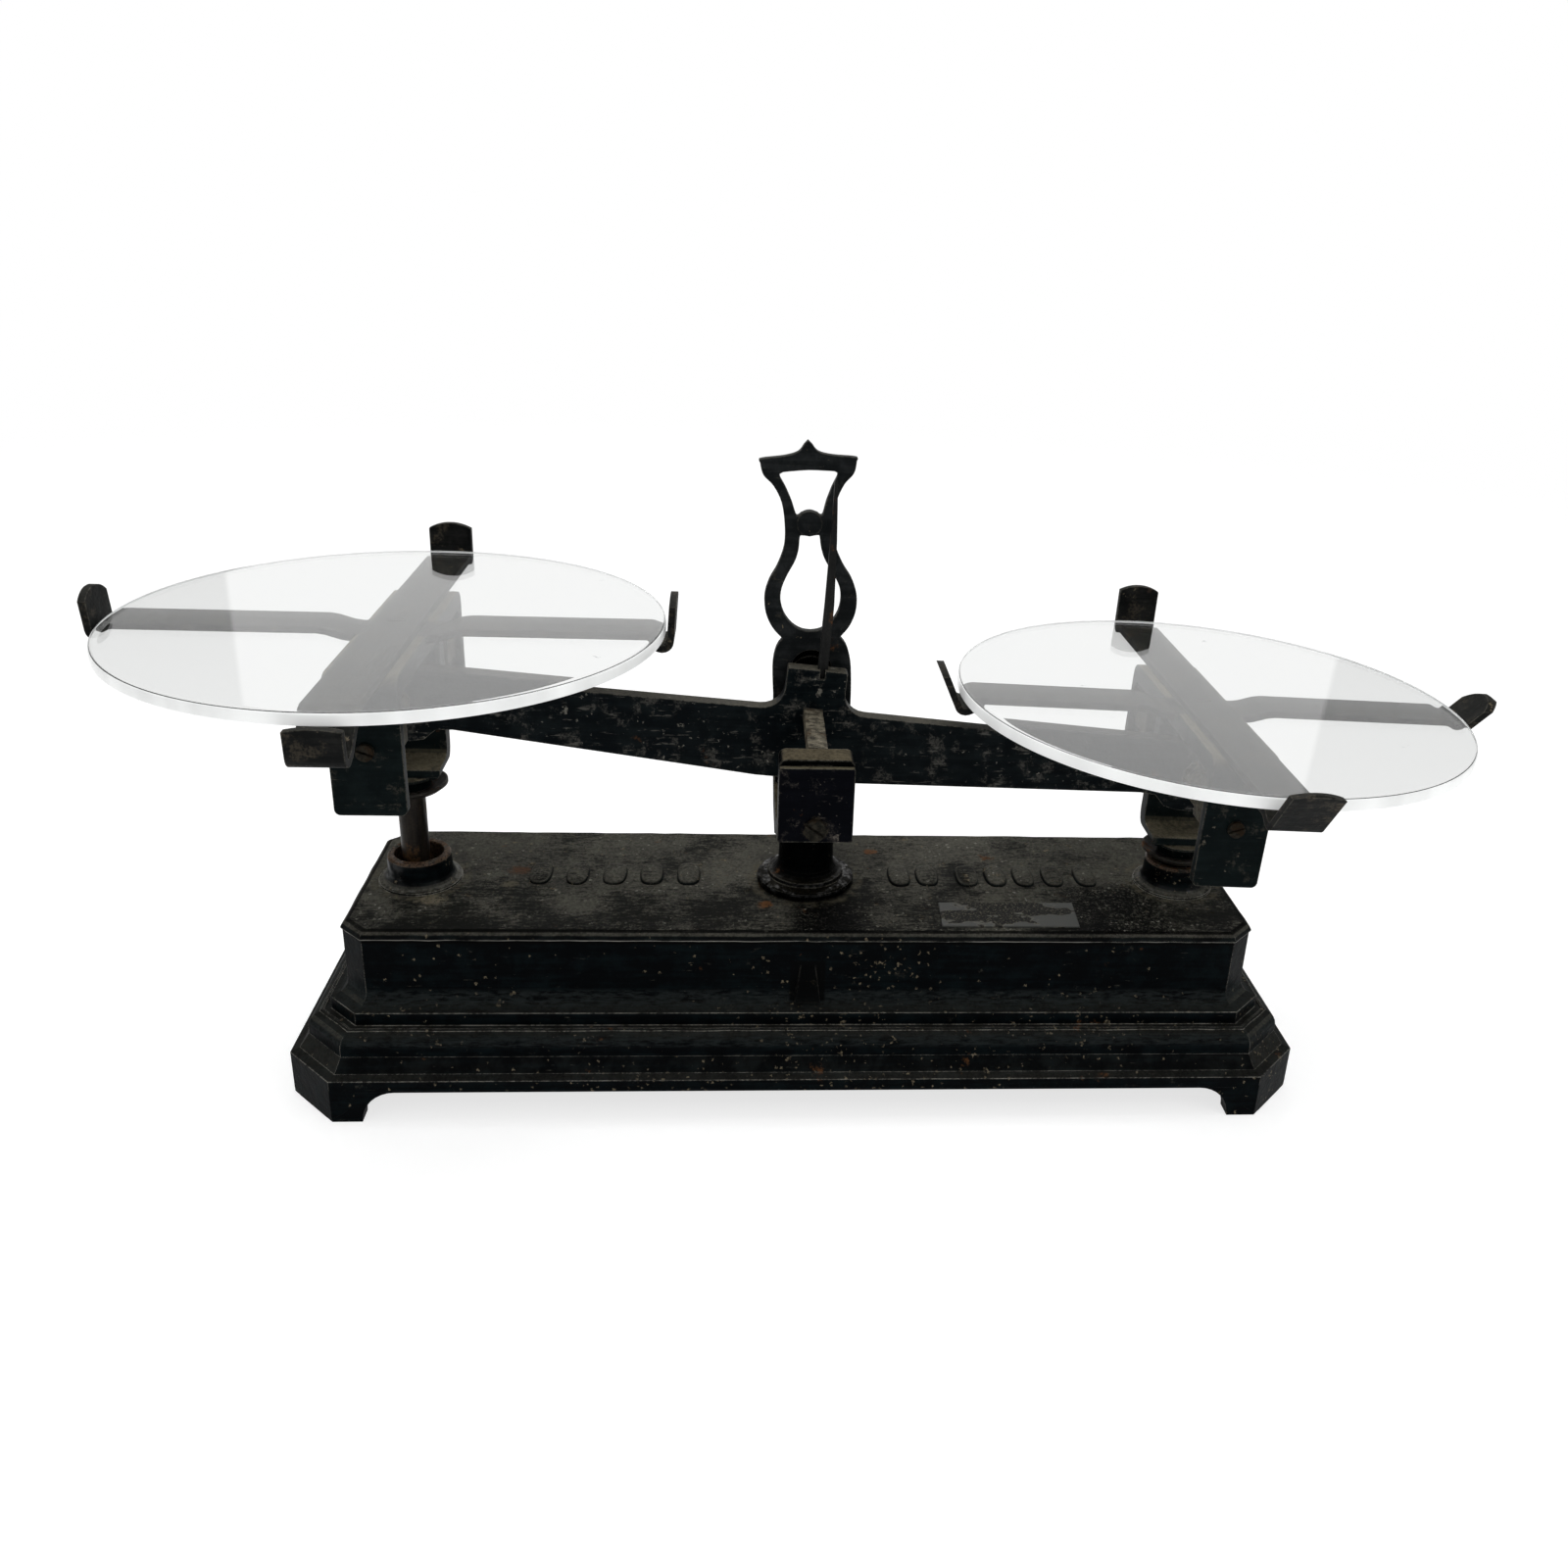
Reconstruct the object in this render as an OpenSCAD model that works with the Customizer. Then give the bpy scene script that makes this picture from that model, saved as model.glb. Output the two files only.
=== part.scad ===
// Counter balance scale with two raised pans, cast base, tilting beam and index frame.
// Millimetres. X runs along the scale, Y away from the user, Z up. The origin is the
// centre of the base on the table. Drawn as it stands when idle: left pan up, right pan
// down on its stop.

/* [Base] */
// length of the base over its feet
base_l = 440; // [430:1:460]
// depth of the base over its feet
base_w = 145; // [140:1:160]
// height of the top plate
base_h = 77.5; // [76:0.5:80]
// wall thickness of the casting
wall = 6; // [4:0.5:7]
// height of the guide tubes above the top plate
tube_h = 13; // [12:0.1:13.2]
// bore of the guide tubes
tube_bore = 21.5; // [21:0.5:22.5]

/* [Beam] */
// distance from the centre knife to each end knife
arm = 174; // [172:0.5:176]
// height of the centre knife edge
pivot_z = 152; // [151:0.5:153]
// tilt when the empty scale rests on its right stop
rest_tilt = 4.8; // [4:0.1:4.9]
// thickness of the beam plate
beam_t = 7; // [6:0.5:7.5]

/* [Carriers] */
// outward lean of the right carrier caused by its slack
right_lean = 1.8; // [0:0.1:2]
// width of the carrier casting
carrier_w = 28; // [27:0.5:30]
// diameter of the stems in the guide tubes
stem_d = 12; // [11:0.5:12.5]
// diameter of the stop collar
collar_d = 32; // [30:0.5:33]

/* [Pans] */
// diameter of the clear pans
pan_d = 224; // [220:1:226]
// thickness of the left clear pan
pan_t = 5; // [4:0.5:6]
// how much thicker the right pan is, which lets it rest on its stop
pan_extra = 0.3; // [0.1:0.1:0.6]
// width of the cross strips
strip_w = 20; // [18:1:22]
// thickness of the cross strips
strip_t = 3; // [2.5:0.1:3.2]

/* [Index] */
// lean of the index frame to the left
lyre_lean = 2.7; // [0:0.1:2.8]
// thickness of the index frame
lyre_t = 4; // [3:0.5:4]

/* [Hidden] */
$fn = 64;

black = [0.06, 0.07, 0.07];
steel = [0.30, 0.28, 0.25];
rust = [0.30, 0.20, 0.13];
clear = [0.85, 0.90, 0.90, 0.35];

// step-out of the mouldings from top plate edge to foot
step = 27;
top_l = base_l - 2 * step;
top_w = base_w - 2 * step;
plate_z = base_h - wall;
foot_z = 14.5;
foot_l = 33;
tube_x = 172;
rim_z = base_h + tube_h;
// knife line to lower pins, and the lower lever pivot
link_h = 110;
lever_z = pivot_z - link_h;
// position of the end knives at rest
end_x = arm * cos(rest_tilt);
end_dz = arm * sin(rest_tilt);
// centre prongs
prong_in = 50;
prong_out = 62;
prong_top = 163;
cover_t = 2.6;
// levels in a carrier, measured from its knife edge
leg_out = 61;
leg_in = 57;
top_hi = 23.9;
top_lo = 15.9;
leg_lo = -30;
ledge_hi = -33;
ledge_lo = -38.5;
boss_lo = -44;
collar_lo = -46.3;
strip_top = top_hi + strip_t;
gap = 0.3;
// half height of the long holes at the ends of the lower lever
lever_hole = 3.3;

// places for the moving groups
module at_beam() {
  translate([0, 0, pivot_z]) rotate([0, rest_tilt, 0]) children();
}
module at_lever() {
  translate([0, 0, lever_z]) rotate([0, rest_tilt, 0]) children();
}
module at_left() {
  translate([-end_x, 0, pivot_z + end_dz]) children();
}
module at_right() {
  translate([end_x, 0, pivot_z - end_dz]) rotate([0, right_lean, 0]) mirror([1, 0, 0]) children();
}

// plate lying in the X-Z plane, its middle at depth y
module plate_xz(y, t) {
  translate([0, y + t / 2, 0]) rotate([90, 0, 0]) linear_extrude(height = t) children();
}
// section drawn in the Y-Z plane and run w wide along X
module run_x(w) {
  rotate([90, 0, 90]) translate([0, 0, -w / 2]) linear_extrude(height = w) children();
}
// square plate outline with rounded corners
module soft_rect(x0, z0, x1, z1, r) {
  translate([x0 + r, z0]) square([x1 - x0 - 2 * r, z1 - z0]);
  translate([x0, z0 + r]) square([x1 - x0, z1 - z0 - 2 * r]);
  for (x = [x0 + r, x1 - r], z = [z0 + r, z1 - r]) translate([x, z]) circle(r);
}
// arc points from angle a0 to a1 about (cx, cy), radii rx and ry
function arc(cx, cy, rx, ry, a0, a1, n) =
  [for (i = [0:n]) [cx + rx * cos(a0 + (a1 - a0) * i / n), cy + ry * sin(a0 + (a1 - a0) * i / n)]];
function rev(v) = [for (i = [len(v) - 1:-1:0]) v[i]];
function flip_x(v) = [for (p = v) [-p[0], p[1]]];

// ribbon of thickness t along a centre line p
function unit(v) = v / norm(v);
function left_of(v) = [-v[1], v[0]];
function seg_n(p, i) = left_of(unit(p[i + 1] - p[i]));
function mitre(p, i) =
  i == 0 ? seg_n(p, 0)
  : i == len(p) - 1 ? seg_n(p, i - 1)
  : let (m = unit(seg_n(p, i - 1) + seg_n(p, i))) m / (m * seg_n(p, i));
function side(p, d) = [for (i = [0:len(p) - 1]) p[i] + mitre(p, i) * d];
function ribbon(p, t) = concat(side(p, t / 2), rev(side(p, -t / 2)));

// smooth closed-side curve through control points
function cr(a, b, c, d, t) = 0.5 * ((2 * b) + (c - a) * t + (2 * a - 5 * b + 4 * c - d) * t * t
  + (3 * b - a - 3 * c + d) * t * t * t);
function spline(p, n) = concat(
  [for (i = [0:len(p) - 2], k = [0:n - 1])
    cr(p[max(i - 1, 0)], p[i], p[i + 1], p[min(i + 2, len(p) - 1)], k / n)],
  [p[len(p) - 1]]);

// moulding: outward offset from the top plate edge against height
moulding = concat(
  arc(0.4, base_h - 3.4, 3.1, 3.4, 90, 0, 3),
  [for (p = arc(10.5, 48.5, 7, 6, 180, 270, 5)) p],
  [[10.5, 36.5]],
  arc(13.5, 30.5, 6, 6, 90, 0, 5),
  [[19.5, 27], [23.4, 21.2], [27, 20], [27, -1]]);
function flank(half, k) = [for (p = moulding) [half + p[0] * k, p[1]]];
module flank_shape(half, k) {
  polygon(concat(flank(half, k), rev(flip_x(flank(half, k)))));
}
corner_half = (top_l / 2 + top_w / 2 - 8.5) / sqrt(2);

module base_body() {
  big = 2 * base_l;
  intersection() {
    translate([0, big / 2, 0]) rotate([90, 0, 0]) linear_extrude(height = big) flank_shape(top_l / 2, 1);
    run_x(big) flank_shape(top_w / 2, 1);
    rotate([0, 0, 45]) run_x(big) flank_shape(corner_half, 29 / step);
    rotate([0, 0, -45]) run_x(big) flank_shape(corner_half, 29 / step);
    translate([-big / 2, -big / 2, 0]) cube([big, big, base_h]);
  }
}
module hollow(hx, hy, z0, z1, c) {
  translate([0, 0, z0]) linear_extrude(height = z1 - z0)
    polygon([[-hx + c, -hy], [hx - c, -hy], [hx, -hy + c], [hx, hy - c],
      [hx - c, hy], [-hx + c, hy], [-hx, hy - c], [-hx, -hy + c]]);
}
// opening between two feet, with round shoulders
module foot_arch(span) {
  r = foot_z;
  translate([-span / 2 + r, -1]) square([span - 2 * r, foot_z + 1]);
  for (s = [-1, 1]) difference() {
    translate([s > 0 ? span / 2 - r : -span / 2, -1]) square([r, foot_z + 1]);
    translate([s * (span / 2 + 1), foot_z + 1]) circle(r);
  }
}
module tube_boss(x) {
  prof = concat([[0, base_h - 1], [18, base_h - 1], [18, base_h + 1]],
    arc(18, base_h + 5.5, 4, 4.5, 270, 180, 5),
    [[13.75, rim_z - 1], [13, rim_z], [0, rim_z]]);
  translate([x, 0, 0]) rotate_extrude() polygon(prof);
  translate([x, 0, plate_z - 5]) cylinder(h = 6, r = 15.5);
}
module base_casting() {
  color(black) difference() {
    union() {
      difference() {
        base_body();
        hollow(base_l / 2 - 8, base_w / 2 - 8, -1, 26, 18);
        hollow(top_l / 2 + 10.5 - wall, top_w / 2 + 10.5 - wall, 25, 40, 12);
        hollow(top_l / 2 + 3.5 - wall, top_w / 2 + 3.5 - wall, 39, plate_z, 6);
        translate([0, base_w, 0]) rotate([90, 0, 0]) linear_extrude(height = 2 * base_w)
          foot_arch(base_l - 2 * foot_l + 2 * foot_z);
        run_x(2 * base_l) foot_arch(base_w - 2 * foot_l + 2 * foot_z);
      }
      tube_boss(-tube_x);
      tube_boss(tube_x);
      // wedge cast over the cove on the middle of the front
      intersection() {
        run_x(20) translate([-top_w / 2, 0]) polygon([[-2, 62.5], [-3.4, 62.5], [-8.2, 46], [-2, 46]]);
        plate_xz(-top_w / 2 - 5, 12) polygon([[-5.6, 45], [5.6, 45], [3, 62.5], [-3, 62.5]]);
      }
    }
    for (x = [-tube_x, tube_x]) translate([x, 0, plate_z - 6]) cylinder(h = 40, r = tube_bore / 2);
    translate([0, 0, plate_z - 1]) cylinder(h = 20, r = 6.3);
  }
}

// column: foot flange, neck, cradle with two prongs, and the plate behind the index frame
cradle_half = [[0, 108.5], [15, 108.5], [40, 120], [prong_out, 128], [prong_out, prong_top],
  [prong_in, prong_top], [prong_in, 133], [34, 122.5], [0, 119]];
module cradle_section() {
  polygon(concat(cradle_half, rev(flip_x(cradle_half))));
}
module column() {
  foot = concat([[0, base_h], [21.6, base_h], [22, base_h + 0.8], [22, base_h + 2.6]],
    arc(19.6, base_h + 2.6, 2.4, 1.8, 0, 90, 3),
    [[17.2, base_h + 4.6], [16.8, base_h + 6.4]],
    arc(16.8, base_h + 11.4, 4.4, 5, 270, 180, 4),
    [[12.2, 96], [12.8, 102], [14.6, 108.6], [14.6, 112], [0, 112]]);
  color(black) difference() {
    union() {
      rotate_extrude() polygon(foot);
      intersection() {
        run_x(30) cradle_section();
        plate_xz(0, 140) soft_rect(-15, 100, 15, prong_top, 3);
      }
      plate_xz(15.2, 5.6) soft_rect(-14.6, 110, 14.6, 186, 0.8);
      translate([0, 0, base_h - 19]) cylinder(h = 22, r = 6);
    }
    // windows for the knife ends
    for (s = [-1, 1]) plate_xz(s * 56, 14) translate([-6, 145]) square([12, 15.5]);
    // clearance window behind the index frame
    plate_xz(15.2, 8) {
      translate([-9, 143]) square([18, 29]);
      translate([0, 172]) circle(9);
    }
    for (s = [-1, 1]) translate([0, s * 56, 134.3]) rotate([90, 0, 0])
      cylinder(h = 30, r = 2.25, center = true);
    for (x = [-12, 12]) translate([x, 15, 150]) rotate([90, 0, 0]) cylinder(h = 9, r = 1.75, center = true);
  }
}
module column_nut() {
  color(steel) translate([0, 0, plate_z - 13]) difference() {
    cylinder(h = 8, r = 10.4, $fn = 6);
    translate([0, 0, -1]) cylinder(h = 10, r = 6.01);
  }
}
module v_block(x, lo, hi, y0, y1, turn) {
  // block with a groove for a knife edge at its own origin
  difference() {
    translate([-x, y0, lo]) cube([2 * x, y1 - y0, hi - lo]);
    translate([0, (y0 + y1) / 2, 0]) rotate([0, turn, 0]) plate_xz(0, y1 - y0 + 2)
      polygon([[0, -gap], [9.5, 7.6], [-9.5, 7.6]]);
  }
}
module centre_bearings() {
  color(steel) translate([0, 0, pivot_z]) for (s = [0, 1]) mirror([0, s, 0])
    v_block(5.9, -6.9, 4, prong_in + 0.2, 61.8, 0);
}
module centre_cover_plates() {
  color(black) for (s = [0, 1]) mirror([0, s, 0]) difference() {
    plate_xz(prong_out + 0.02 + cover_t / 2, cover_t) soft_rect(-15, 128.4, 15, 160.4, 0.8);
    translate([0, prong_out, 134.3]) rotate([90, 0, 0]) cylinder(h = 12, r = 2.25, center = true);
  }
}
// slotted cheese-head screw pointing along -Y, its head seated at the origin
module slot_screw(head_d, head_h, shaft_d, len, slot_a) {
  rotate([-90, 0, 0]) difference() {
    union() {
      cylinder(h = head_h, r = head_d / 2);
      translate([0, 0, -len]) cylinder(h = len + 1, r = shaft_d / 2);
    }
    rotate([0, 0, slot_a]) translate([-head_d, -0.5, head_h - 1]) cube([2 * head_d, 1, 2]);
  }
}
module centre_cover_screws() {
  color(rust) for (s = [0, 1]) mirror([0, s, 0])
    translate([0, prong_out + cover_t + 0.04, 134.3]) slot_screw(9, 2.2, 4.4, 13, 35);
}

// index frame: half outline and windows about its own centre line
lyre_out = [[0, 275.2], [1.6, 273.6], [4.2, 270.6], [10, 269], [19.6, 268], [19.9, 266.4],
  [18.7, 261.5], [14.7, 257], [11.5, 250], [10.4, 240.5], [10.8, 231.5], [13.8, 223.3],
  [17.6, 216.7], [19.7, 209.8], [19.3, 202.4], [16.6, 195.8], [12.4, 190.8]];
lyre_low = [[12.4, 190.8], [15.2, 186.8], [16.9, 180], [17.2, 170], [16.8, 158], [15.4, 140]];
lyre_top_win = [[0, 263.2], [6, 262.9], [12, 261.8], [9.6, 256], [7.2, 250], [5.6, 244.6],
  [4.4, 244.3], [3.2, 245.2], [0, 246]];
lyre_low_win = [[0, 235.4], [3.2, 235.9], [4.2, 235.2], [4.8, 230], [6.4, 225], [9.6, 219.4],
  [12.2, 213.6], [12.9, 208], [11.6, 202], [8.2, 197], [4, 194.3], [0, 193.6]];
function both(h) = concat(h, rev(flip_x(h)));
module lyre() {
  lean_z = 182;
  color(black) difference() {
    translate([0, 0, lean_z]) rotate([0, -lyre_lean, 0]) translate([0, 0, -lean_z]) {
      plate_xz(10.2, lyre_t) difference() {
        polygon(both(concat(spline(lyre_out, 4), spline(lyre_low, 3))));
        polygon(both(spline(lyre_top_win, 3)));
        polygon(both(spline(lyre_low_win, 3)));
      }
      plate_xz(10.2, lyre_t + 0.8) translate([0, 240.8]) circle(5.2);
    }
    plate_xz(10, 8) {
      translate([-8.8, 130]) square([17.6, 46.5]);
      translate([0, 176.5]) circle(8.8);
    }
    for (x = [-12, 12]) translate([x, 10, 150]) rotate([90, 0, 0])
      cylinder(h = 30, r = 1.75, center = true);
  }
}
module lyre_rivets() {
  color(steel) for (x = [-12, 12]) translate([x, 0, 150]) rotate([-90, 0, 0]) {
    translate([0, 0, 7.0]) cylinder(h = 1.15, r = 3);
    translate([0, 0, 7.1]) cylinder(h = 12, r = 1.7);
    translate([0, 0, 18.05]) cylinder(h = 1.3, r = 3);
  }
}

// hanger for the lower lever, clamped under the top plate by the column nut
module lever_hanger() {
  color(steel) difference() {
    union() {
      translate([-16, -19, plate_z - 4.8]) cube([32, 38, 4.6]);
      for (y = [-19, 15]) plate_xz(y + 2, 4) difference() {
        union() {
          translate([-8, lever_z]) square([16, plate_z - lever_z - 2]);
          translate([0, lever_z]) circle(8);
        }
        translate([0, lever_z]) circle(4.02);
      }
    }
    translate([0, 0, plate_z - 10]) cylinder(h = 12, r = 6.4);
  }
}
module lever_pin() {
  color(steel) translate([0, 0, lever_z]) rotate([90, 0, 0]) {
    cylinder(h = 44, r = 4, center = true);
    for (s = [-1, 1]) translate([0, 0, s * 21.4]) cylinder(h = 2.4, r = 5.6, center = true);
  }
}

// beam, drawn level about the centre knife edge
beam_half = [[0, 28], [12.4, 28], [13, 27.4], [13, 19]];
beam_rest = concat(arc(23, 18.8, 10, 10, 180, 270, 6),
  [[90, 8.4], [150, 8.2], [184, 8], [188, 4.5], [188, -16], [184.5, -20.6], [178, -21.6], [170, -21.6],
   [164, -20.2], [159, -15.2], [152, -14.6], [53, -20.8], [22, -22.8], [0, -22.8]]);
module knife_section(up) {
  // pear section, edge at the origin, body above or below
  scale_y = up ? 1 : -1;
  polygon([[0, 0], [4, 6 * scale_y], [4, 10.5 * scale_y], [-4, 10.5 * scale_y], [-4, 6 * scale_y]]);
}
module beam() {
  color(black) at_beam() plate_xz(0, beam_t) difference() {
    polygon(both(concat(beam_half, beam_rest)));
    knife_section(true);
    for (s = [-1, 1]) translate([s * arm, 0]) knife_section(false);
    translate([1.1, 24]) square([2.2, 6]);
  }
}
module centre_knife() {
  // ends ground lower where they rock in the prongs
  color(steel) at_beam() {
    plate_xz(0, 96) knife_section(true);
    plate_xz(0, 115) intersection() {
      knife_section(true);
      translate([-5, -1]) square([10, 7.8]);
    }
  }
}
module end_knives() {
  color(steel) at_beam() for (s = [-1, 1]) translate([s * arm, 0, 0]) plate_xz(0, 98) knife_section(false);
}
module needle() {
  color(black) at_beam() plate_xz(0, 2.4)
    polygon([[1.1, 24], [3.3, 24], [3.3, 28.05], [4.4, 28.05], [3.6, 57], [1.4, 84], [-1.3, 109.1], [-1.9, 110.5],
      [-2.5, 109.1], [-1.4, 84], [-0.5, 57], [0, 28.05], [1.1, 28.05]]);
}

module lower_lever() {
  color(black) at_lever() plate_xz(0, 7) difference() {
    union() {
      polygon([[-arm, -6.4], [-20, -8.5], [20, -8.5], [arm, -6.4], [arm, 6.4], [20, 8.5], [-20, 8.5], [-arm, 6.4]]);
      for (s = [-1, 1]) translate([s * arm, 0]) circle(6.4);
      circle(11);
    }
    circle(4.06);
    // long holes that give the stems their slack
    for (s = [-1, 1]) {
      for (x = [arm - 3.8, arm + 1]) translate([s * x, 0]) circle(lever_hole);
      translate([s * (arm - 1.4) - 2.4, -lever_hole]) square([4.8, 2 * lever_hole]);
    }
  }
}

// carrier, drawn about its knife edge: strap over the beam end, hooked tongue, stem boss
module carrier() {
  w = carrier_w;
  strap = concat([[0, top_hi]], arc(leg_out - 6, top_hi - 6, 6, 6, 90, 0, 5),
    [[leg_out, leg_lo], [leg_in, leg_lo], [leg_in, top_lo - 3], [leg_in - 3, top_lo], [0, top_lo]]);
  tongue = concat([[8, top_lo + 1], [15, top_lo + 1]],
    arc(15 - 10, ledge_lo + 10, 10, 10, 0, -90, 6),
    [[-6.5, ledge_lo], [-8, ledge_lo + 1.5], [-8, ledge_hi - 0.6], [-7, ledge_hi]],
    arc(3, ledge_hi + 5, 5, 5, -90, 0, 4));
  boss = concat([[0, ledge_lo + 1], [12, ledge_lo + 1], [12, ledge_lo]],
    arc(12, ledge_lo - 3, 3.2, 3, 90, 180, 3), [[8.6, boss_lo], [0, boss_lo]]);
  difference() {
    union() {
      intersection() {
        run_x(w) polygon(both(strap));
        plate_xz(0, 200) soft_rect(-w / 2, leg_lo, w / 2, top_hi + 5, 2.5);
      }
      intersection() {
        run_x(w + 2) polygon(tongue);
        plate_xz(0, 200) soft_rect(-w / 2 - 1, ledge_lo, w / 2 + 1, top_lo + 6, 4);
      }
      rotate_extrude() polygon(boss);
    }
    // seat for the cross strip
    translate([-w, -strip_w / 2 - 0.3, top_hi - strip_t - 0.1]) cube([2 * w, strip_w + 0.6, strip_t + 1]);
    // eye that lets the end knife through the tongue
    plate_xz(11.5, 9) polygon([[-3.5, 4], [3.5, 4], [7.5, -4], [7.5, -14], [-7.5, -14], [-7.5, -4]]);
    translate([0, 0, boss_lo - 1]) cylinder(h = ledge_hi - 0.5 - boss_lo, r = stem_d / 2 - 1.2);
    translate([0, 0, top_lo - 1]) cylinder(h = 12, r = 2.55);
    for (s = [-1, 1]) translate([0, s * leg_in, -3]) rotate([90, 0, 0])
      cylinder(h = 16, r = 2.05, center = true);
  }
}
module carrier_bearings() {
  for (s = [0, 1]) mirror([0, s, 0]) {
    difference() {
      union() {
        rotate([0, 180, 0]) mirror([1, 0, 0]) v_block(11, -9, 6.5, 40, 50.5, 0);
        translate([-11, 50.4, -6.5]) cube([22, leg_in - 50.42, 15.5]);
      }
      translate([0, 54, -3]) rotate([90, 0, 0]) cylinder(h = 7.2, r = 2.02, center = true);
    }
  }
}
module carrier_screws() {
  for (s = [0, 1]) mirror([0, s, 0]) translate([0, leg_out + 0.02, -3]) slot_screw(7, 1.8, 4, 10.2, 20);
}
module stem() {
  // rod with a threaded-in top and a forked foot
  difference() {
    union() {
      translate([0, 0, boss_lo - 1]) cylinder(h = 10.2, r = stem_d / 2 - 1.23);
      translate([0, 0, -102]) cylinder(h = 102 + boss_lo - 0.02, r = stem_d / 2);
      translate([0, 0, -link_h - 8.5]) cylinder(h = 20, r = 8);
    }
    translate([-12, -4, -link_h - 10]) cube([24, 8, 19]);
    translate([0, 0, -link_h]) rotate([90, 0, 0]) cylinder(h = 30, r = 2.52, center = true);
  }
}
module stem_pin() {
  translate([0, 0, -link_h]) rotate([90, 0, 0]) {
    cylinder(h = 18.4, r = 2.5, center = true);
    for (s = [-1, 1]) translate([0, 0, s * 9.4]) cylinder(h = 1.6, r = 3.6, center = true);
  }
}
module collar() {
  // dished washer that lands on the guide tube
  r = collar_d / 2;
  lo = collar_lo;
  rotate_extrude() polygon([[stem_d / 2 + 0.02, lo], [9.5, lo], [13.2, lo + 1.2], [r, lo + 3.4], [r, lo + 4.6],
    [r - 0.8, lo + 4.9], [12.4, lo + 3.2], [9.3, lo + 2.2], [stem_d / 2 + 0.02, lo + 2.2]]);
}

// centre line of one strip end: upright at reach r, dip d, rise h above the strip top, lean a
function hook(r, d, h, a) =
  let (m = strip_top - strip_t / 2, b = m - d, s = 3 + 1.3 * d, q = 3.5, x0 = r - q,
       up = m + strip_t / 2 + h, e = [x0 + q * cos(a), b + q - q * sin(a)])
  concat([for (i = [0:4]) [x0 - s + s * i / 4, m - d * (1 - cos(45 * i)) / 2]],
    arc(x0, b + q, q, q, 292, 360 - a, 4), [[e[0] + (up - e[1]) * tan(a), up]]);
// crown ground on a strip end: cutter over an upright that ends at height top
module crown_cut(end) {
  top = strip_top + end[2];
  translate([0, top]) difference() {
    translate([-15, -9]) square([30, 20]);
    translate([0, -end[4]]) circle(end[4]);
  }
}
// each end is given as [reach, dip, rise, lean, crown radius]
module strip_long(front, back) {
  // front-to-back strip, lying flat on the strap
  a = flip_x(hook(front[0], front[1], front[2], front[3]));
  b = hook(back[0], back[1], back[2], back[3]);
  difference() {
    run_x(strip_w) polygon(ribbon(concat(rev(a), b), strip_t));
    translate([0, 0, 10]) cylinder(h = 30, r = 3.55);
    plate_xz(-124, 40) crown_cut(front);
    plate_xz(124, 40) crown_cut(back);
  }
}
module strip_cross(outer, inner) {
  // side-to-side strip, stepped down to pass under the long strip
  m = strip_top - strip_t / 2;
  function joggle(k) = [[k * 16, m - strip_t], [k * 19.5, m - strip_t + 0.5], [k * 26, m - 0.5], [k * 29.5, m]];
  a = flip_x(hook(outer[0], outer[1], outer[2], outer[3]));
  b = hook(inner[0], inner[1], inner[2], inner[3]);
  difference() {
    plate_xz(0, strip_w) polygon(ribbon(concat(rev(a), rev(joggle(-1)), joggle(1), b), strip_t));
    translate([0, 0, 10]) cylinder(h = 30, r = 2.55);
    translate([-124, 0, 0]) run_x(40) crown_cut(outer);
    translate([124, 0, 0]) run_x(40) crown_cut(inner);
  }
}
module hub_screw() {
  // countersunk screw through both strips
  difference() {
    union() {
      translate([0, 0, strip_top - 2.2]) cylinder(h = 2.1, r = 3.5);
      translate([0, 0, top_lo + 0.5]) cylinder(h = strip_top - top_lo - 2, r = 2.5);
    }
    translate([-6, -0.5, strip_top - 1]) cube([12, 1, 3]);
  }
}
module pan(t) {
  cylinder(h = t, r = pan_d / 2, $fn = 128);
}
pan_z = strip_top + gap;

module left_carrier() { color(black) at_left() carrier(); }
module left_stem() { color(steel) at_left() stem(); }
module left_collar() { color(rust) at_left() collar(); }
module left_bearings() { color(steel) at_left() carrier_bearings(); }
module left_bearing_screws() { color(rust) at_left() carrier_screws(); }
module left_long_strip() { color(black) at_left() strip_long([117.5, 10.3, 2.3, 3, 45], [114.5, 1.8, 18.5, 2, 20]); }
module left_cross_strip() {
  color(black) at_left() strip_cross([119, 1.8, 16, 4, 14], [113.4, 1.8, 18.5, 4, 16]);
}
module left_hub_screw() { color(steel) at_left() hub_screw(); }
module left_stem_pin() { color(steel) at_left() stem_pin(); }
module left_pan() { color(clear) at_left() translate([-1, 0, pan_z]) pan(pan_t); }

module right_carrier() { color(black) at_right() carrier(); }
module right_stem() { color(steel) at_right() stem(); }
module right_collar() { color(rust) at_right() collar(); }
module right_bearings() { color(steel) at_right() carrier_bearings(); }
module right_bearing_screws() { color(rust) at_right() carrier_screws(); }
module right_long_strip() {
  color(black) at_right() strip_long([115, 3, 15.5, 35, 26], [117.4, 1.8, 23.5, 2, 20]);
}
module right_cross_strip() {
  color(black) at_right() strip_cross([117.4, 1.8, 12.7, 44, 13], [111.4, 1.8, 15.5, 26, 16]);
}
module right_hub_screw() { color(steel) at_right() hub_screw(); }
module right_stem_pin() { color(steel) at_right() stem_pin(); }
module right_pan() { color(clear) at_right() translate([-3, 3, pan_z]) pan(pan_t + pan_extra); }

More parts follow.
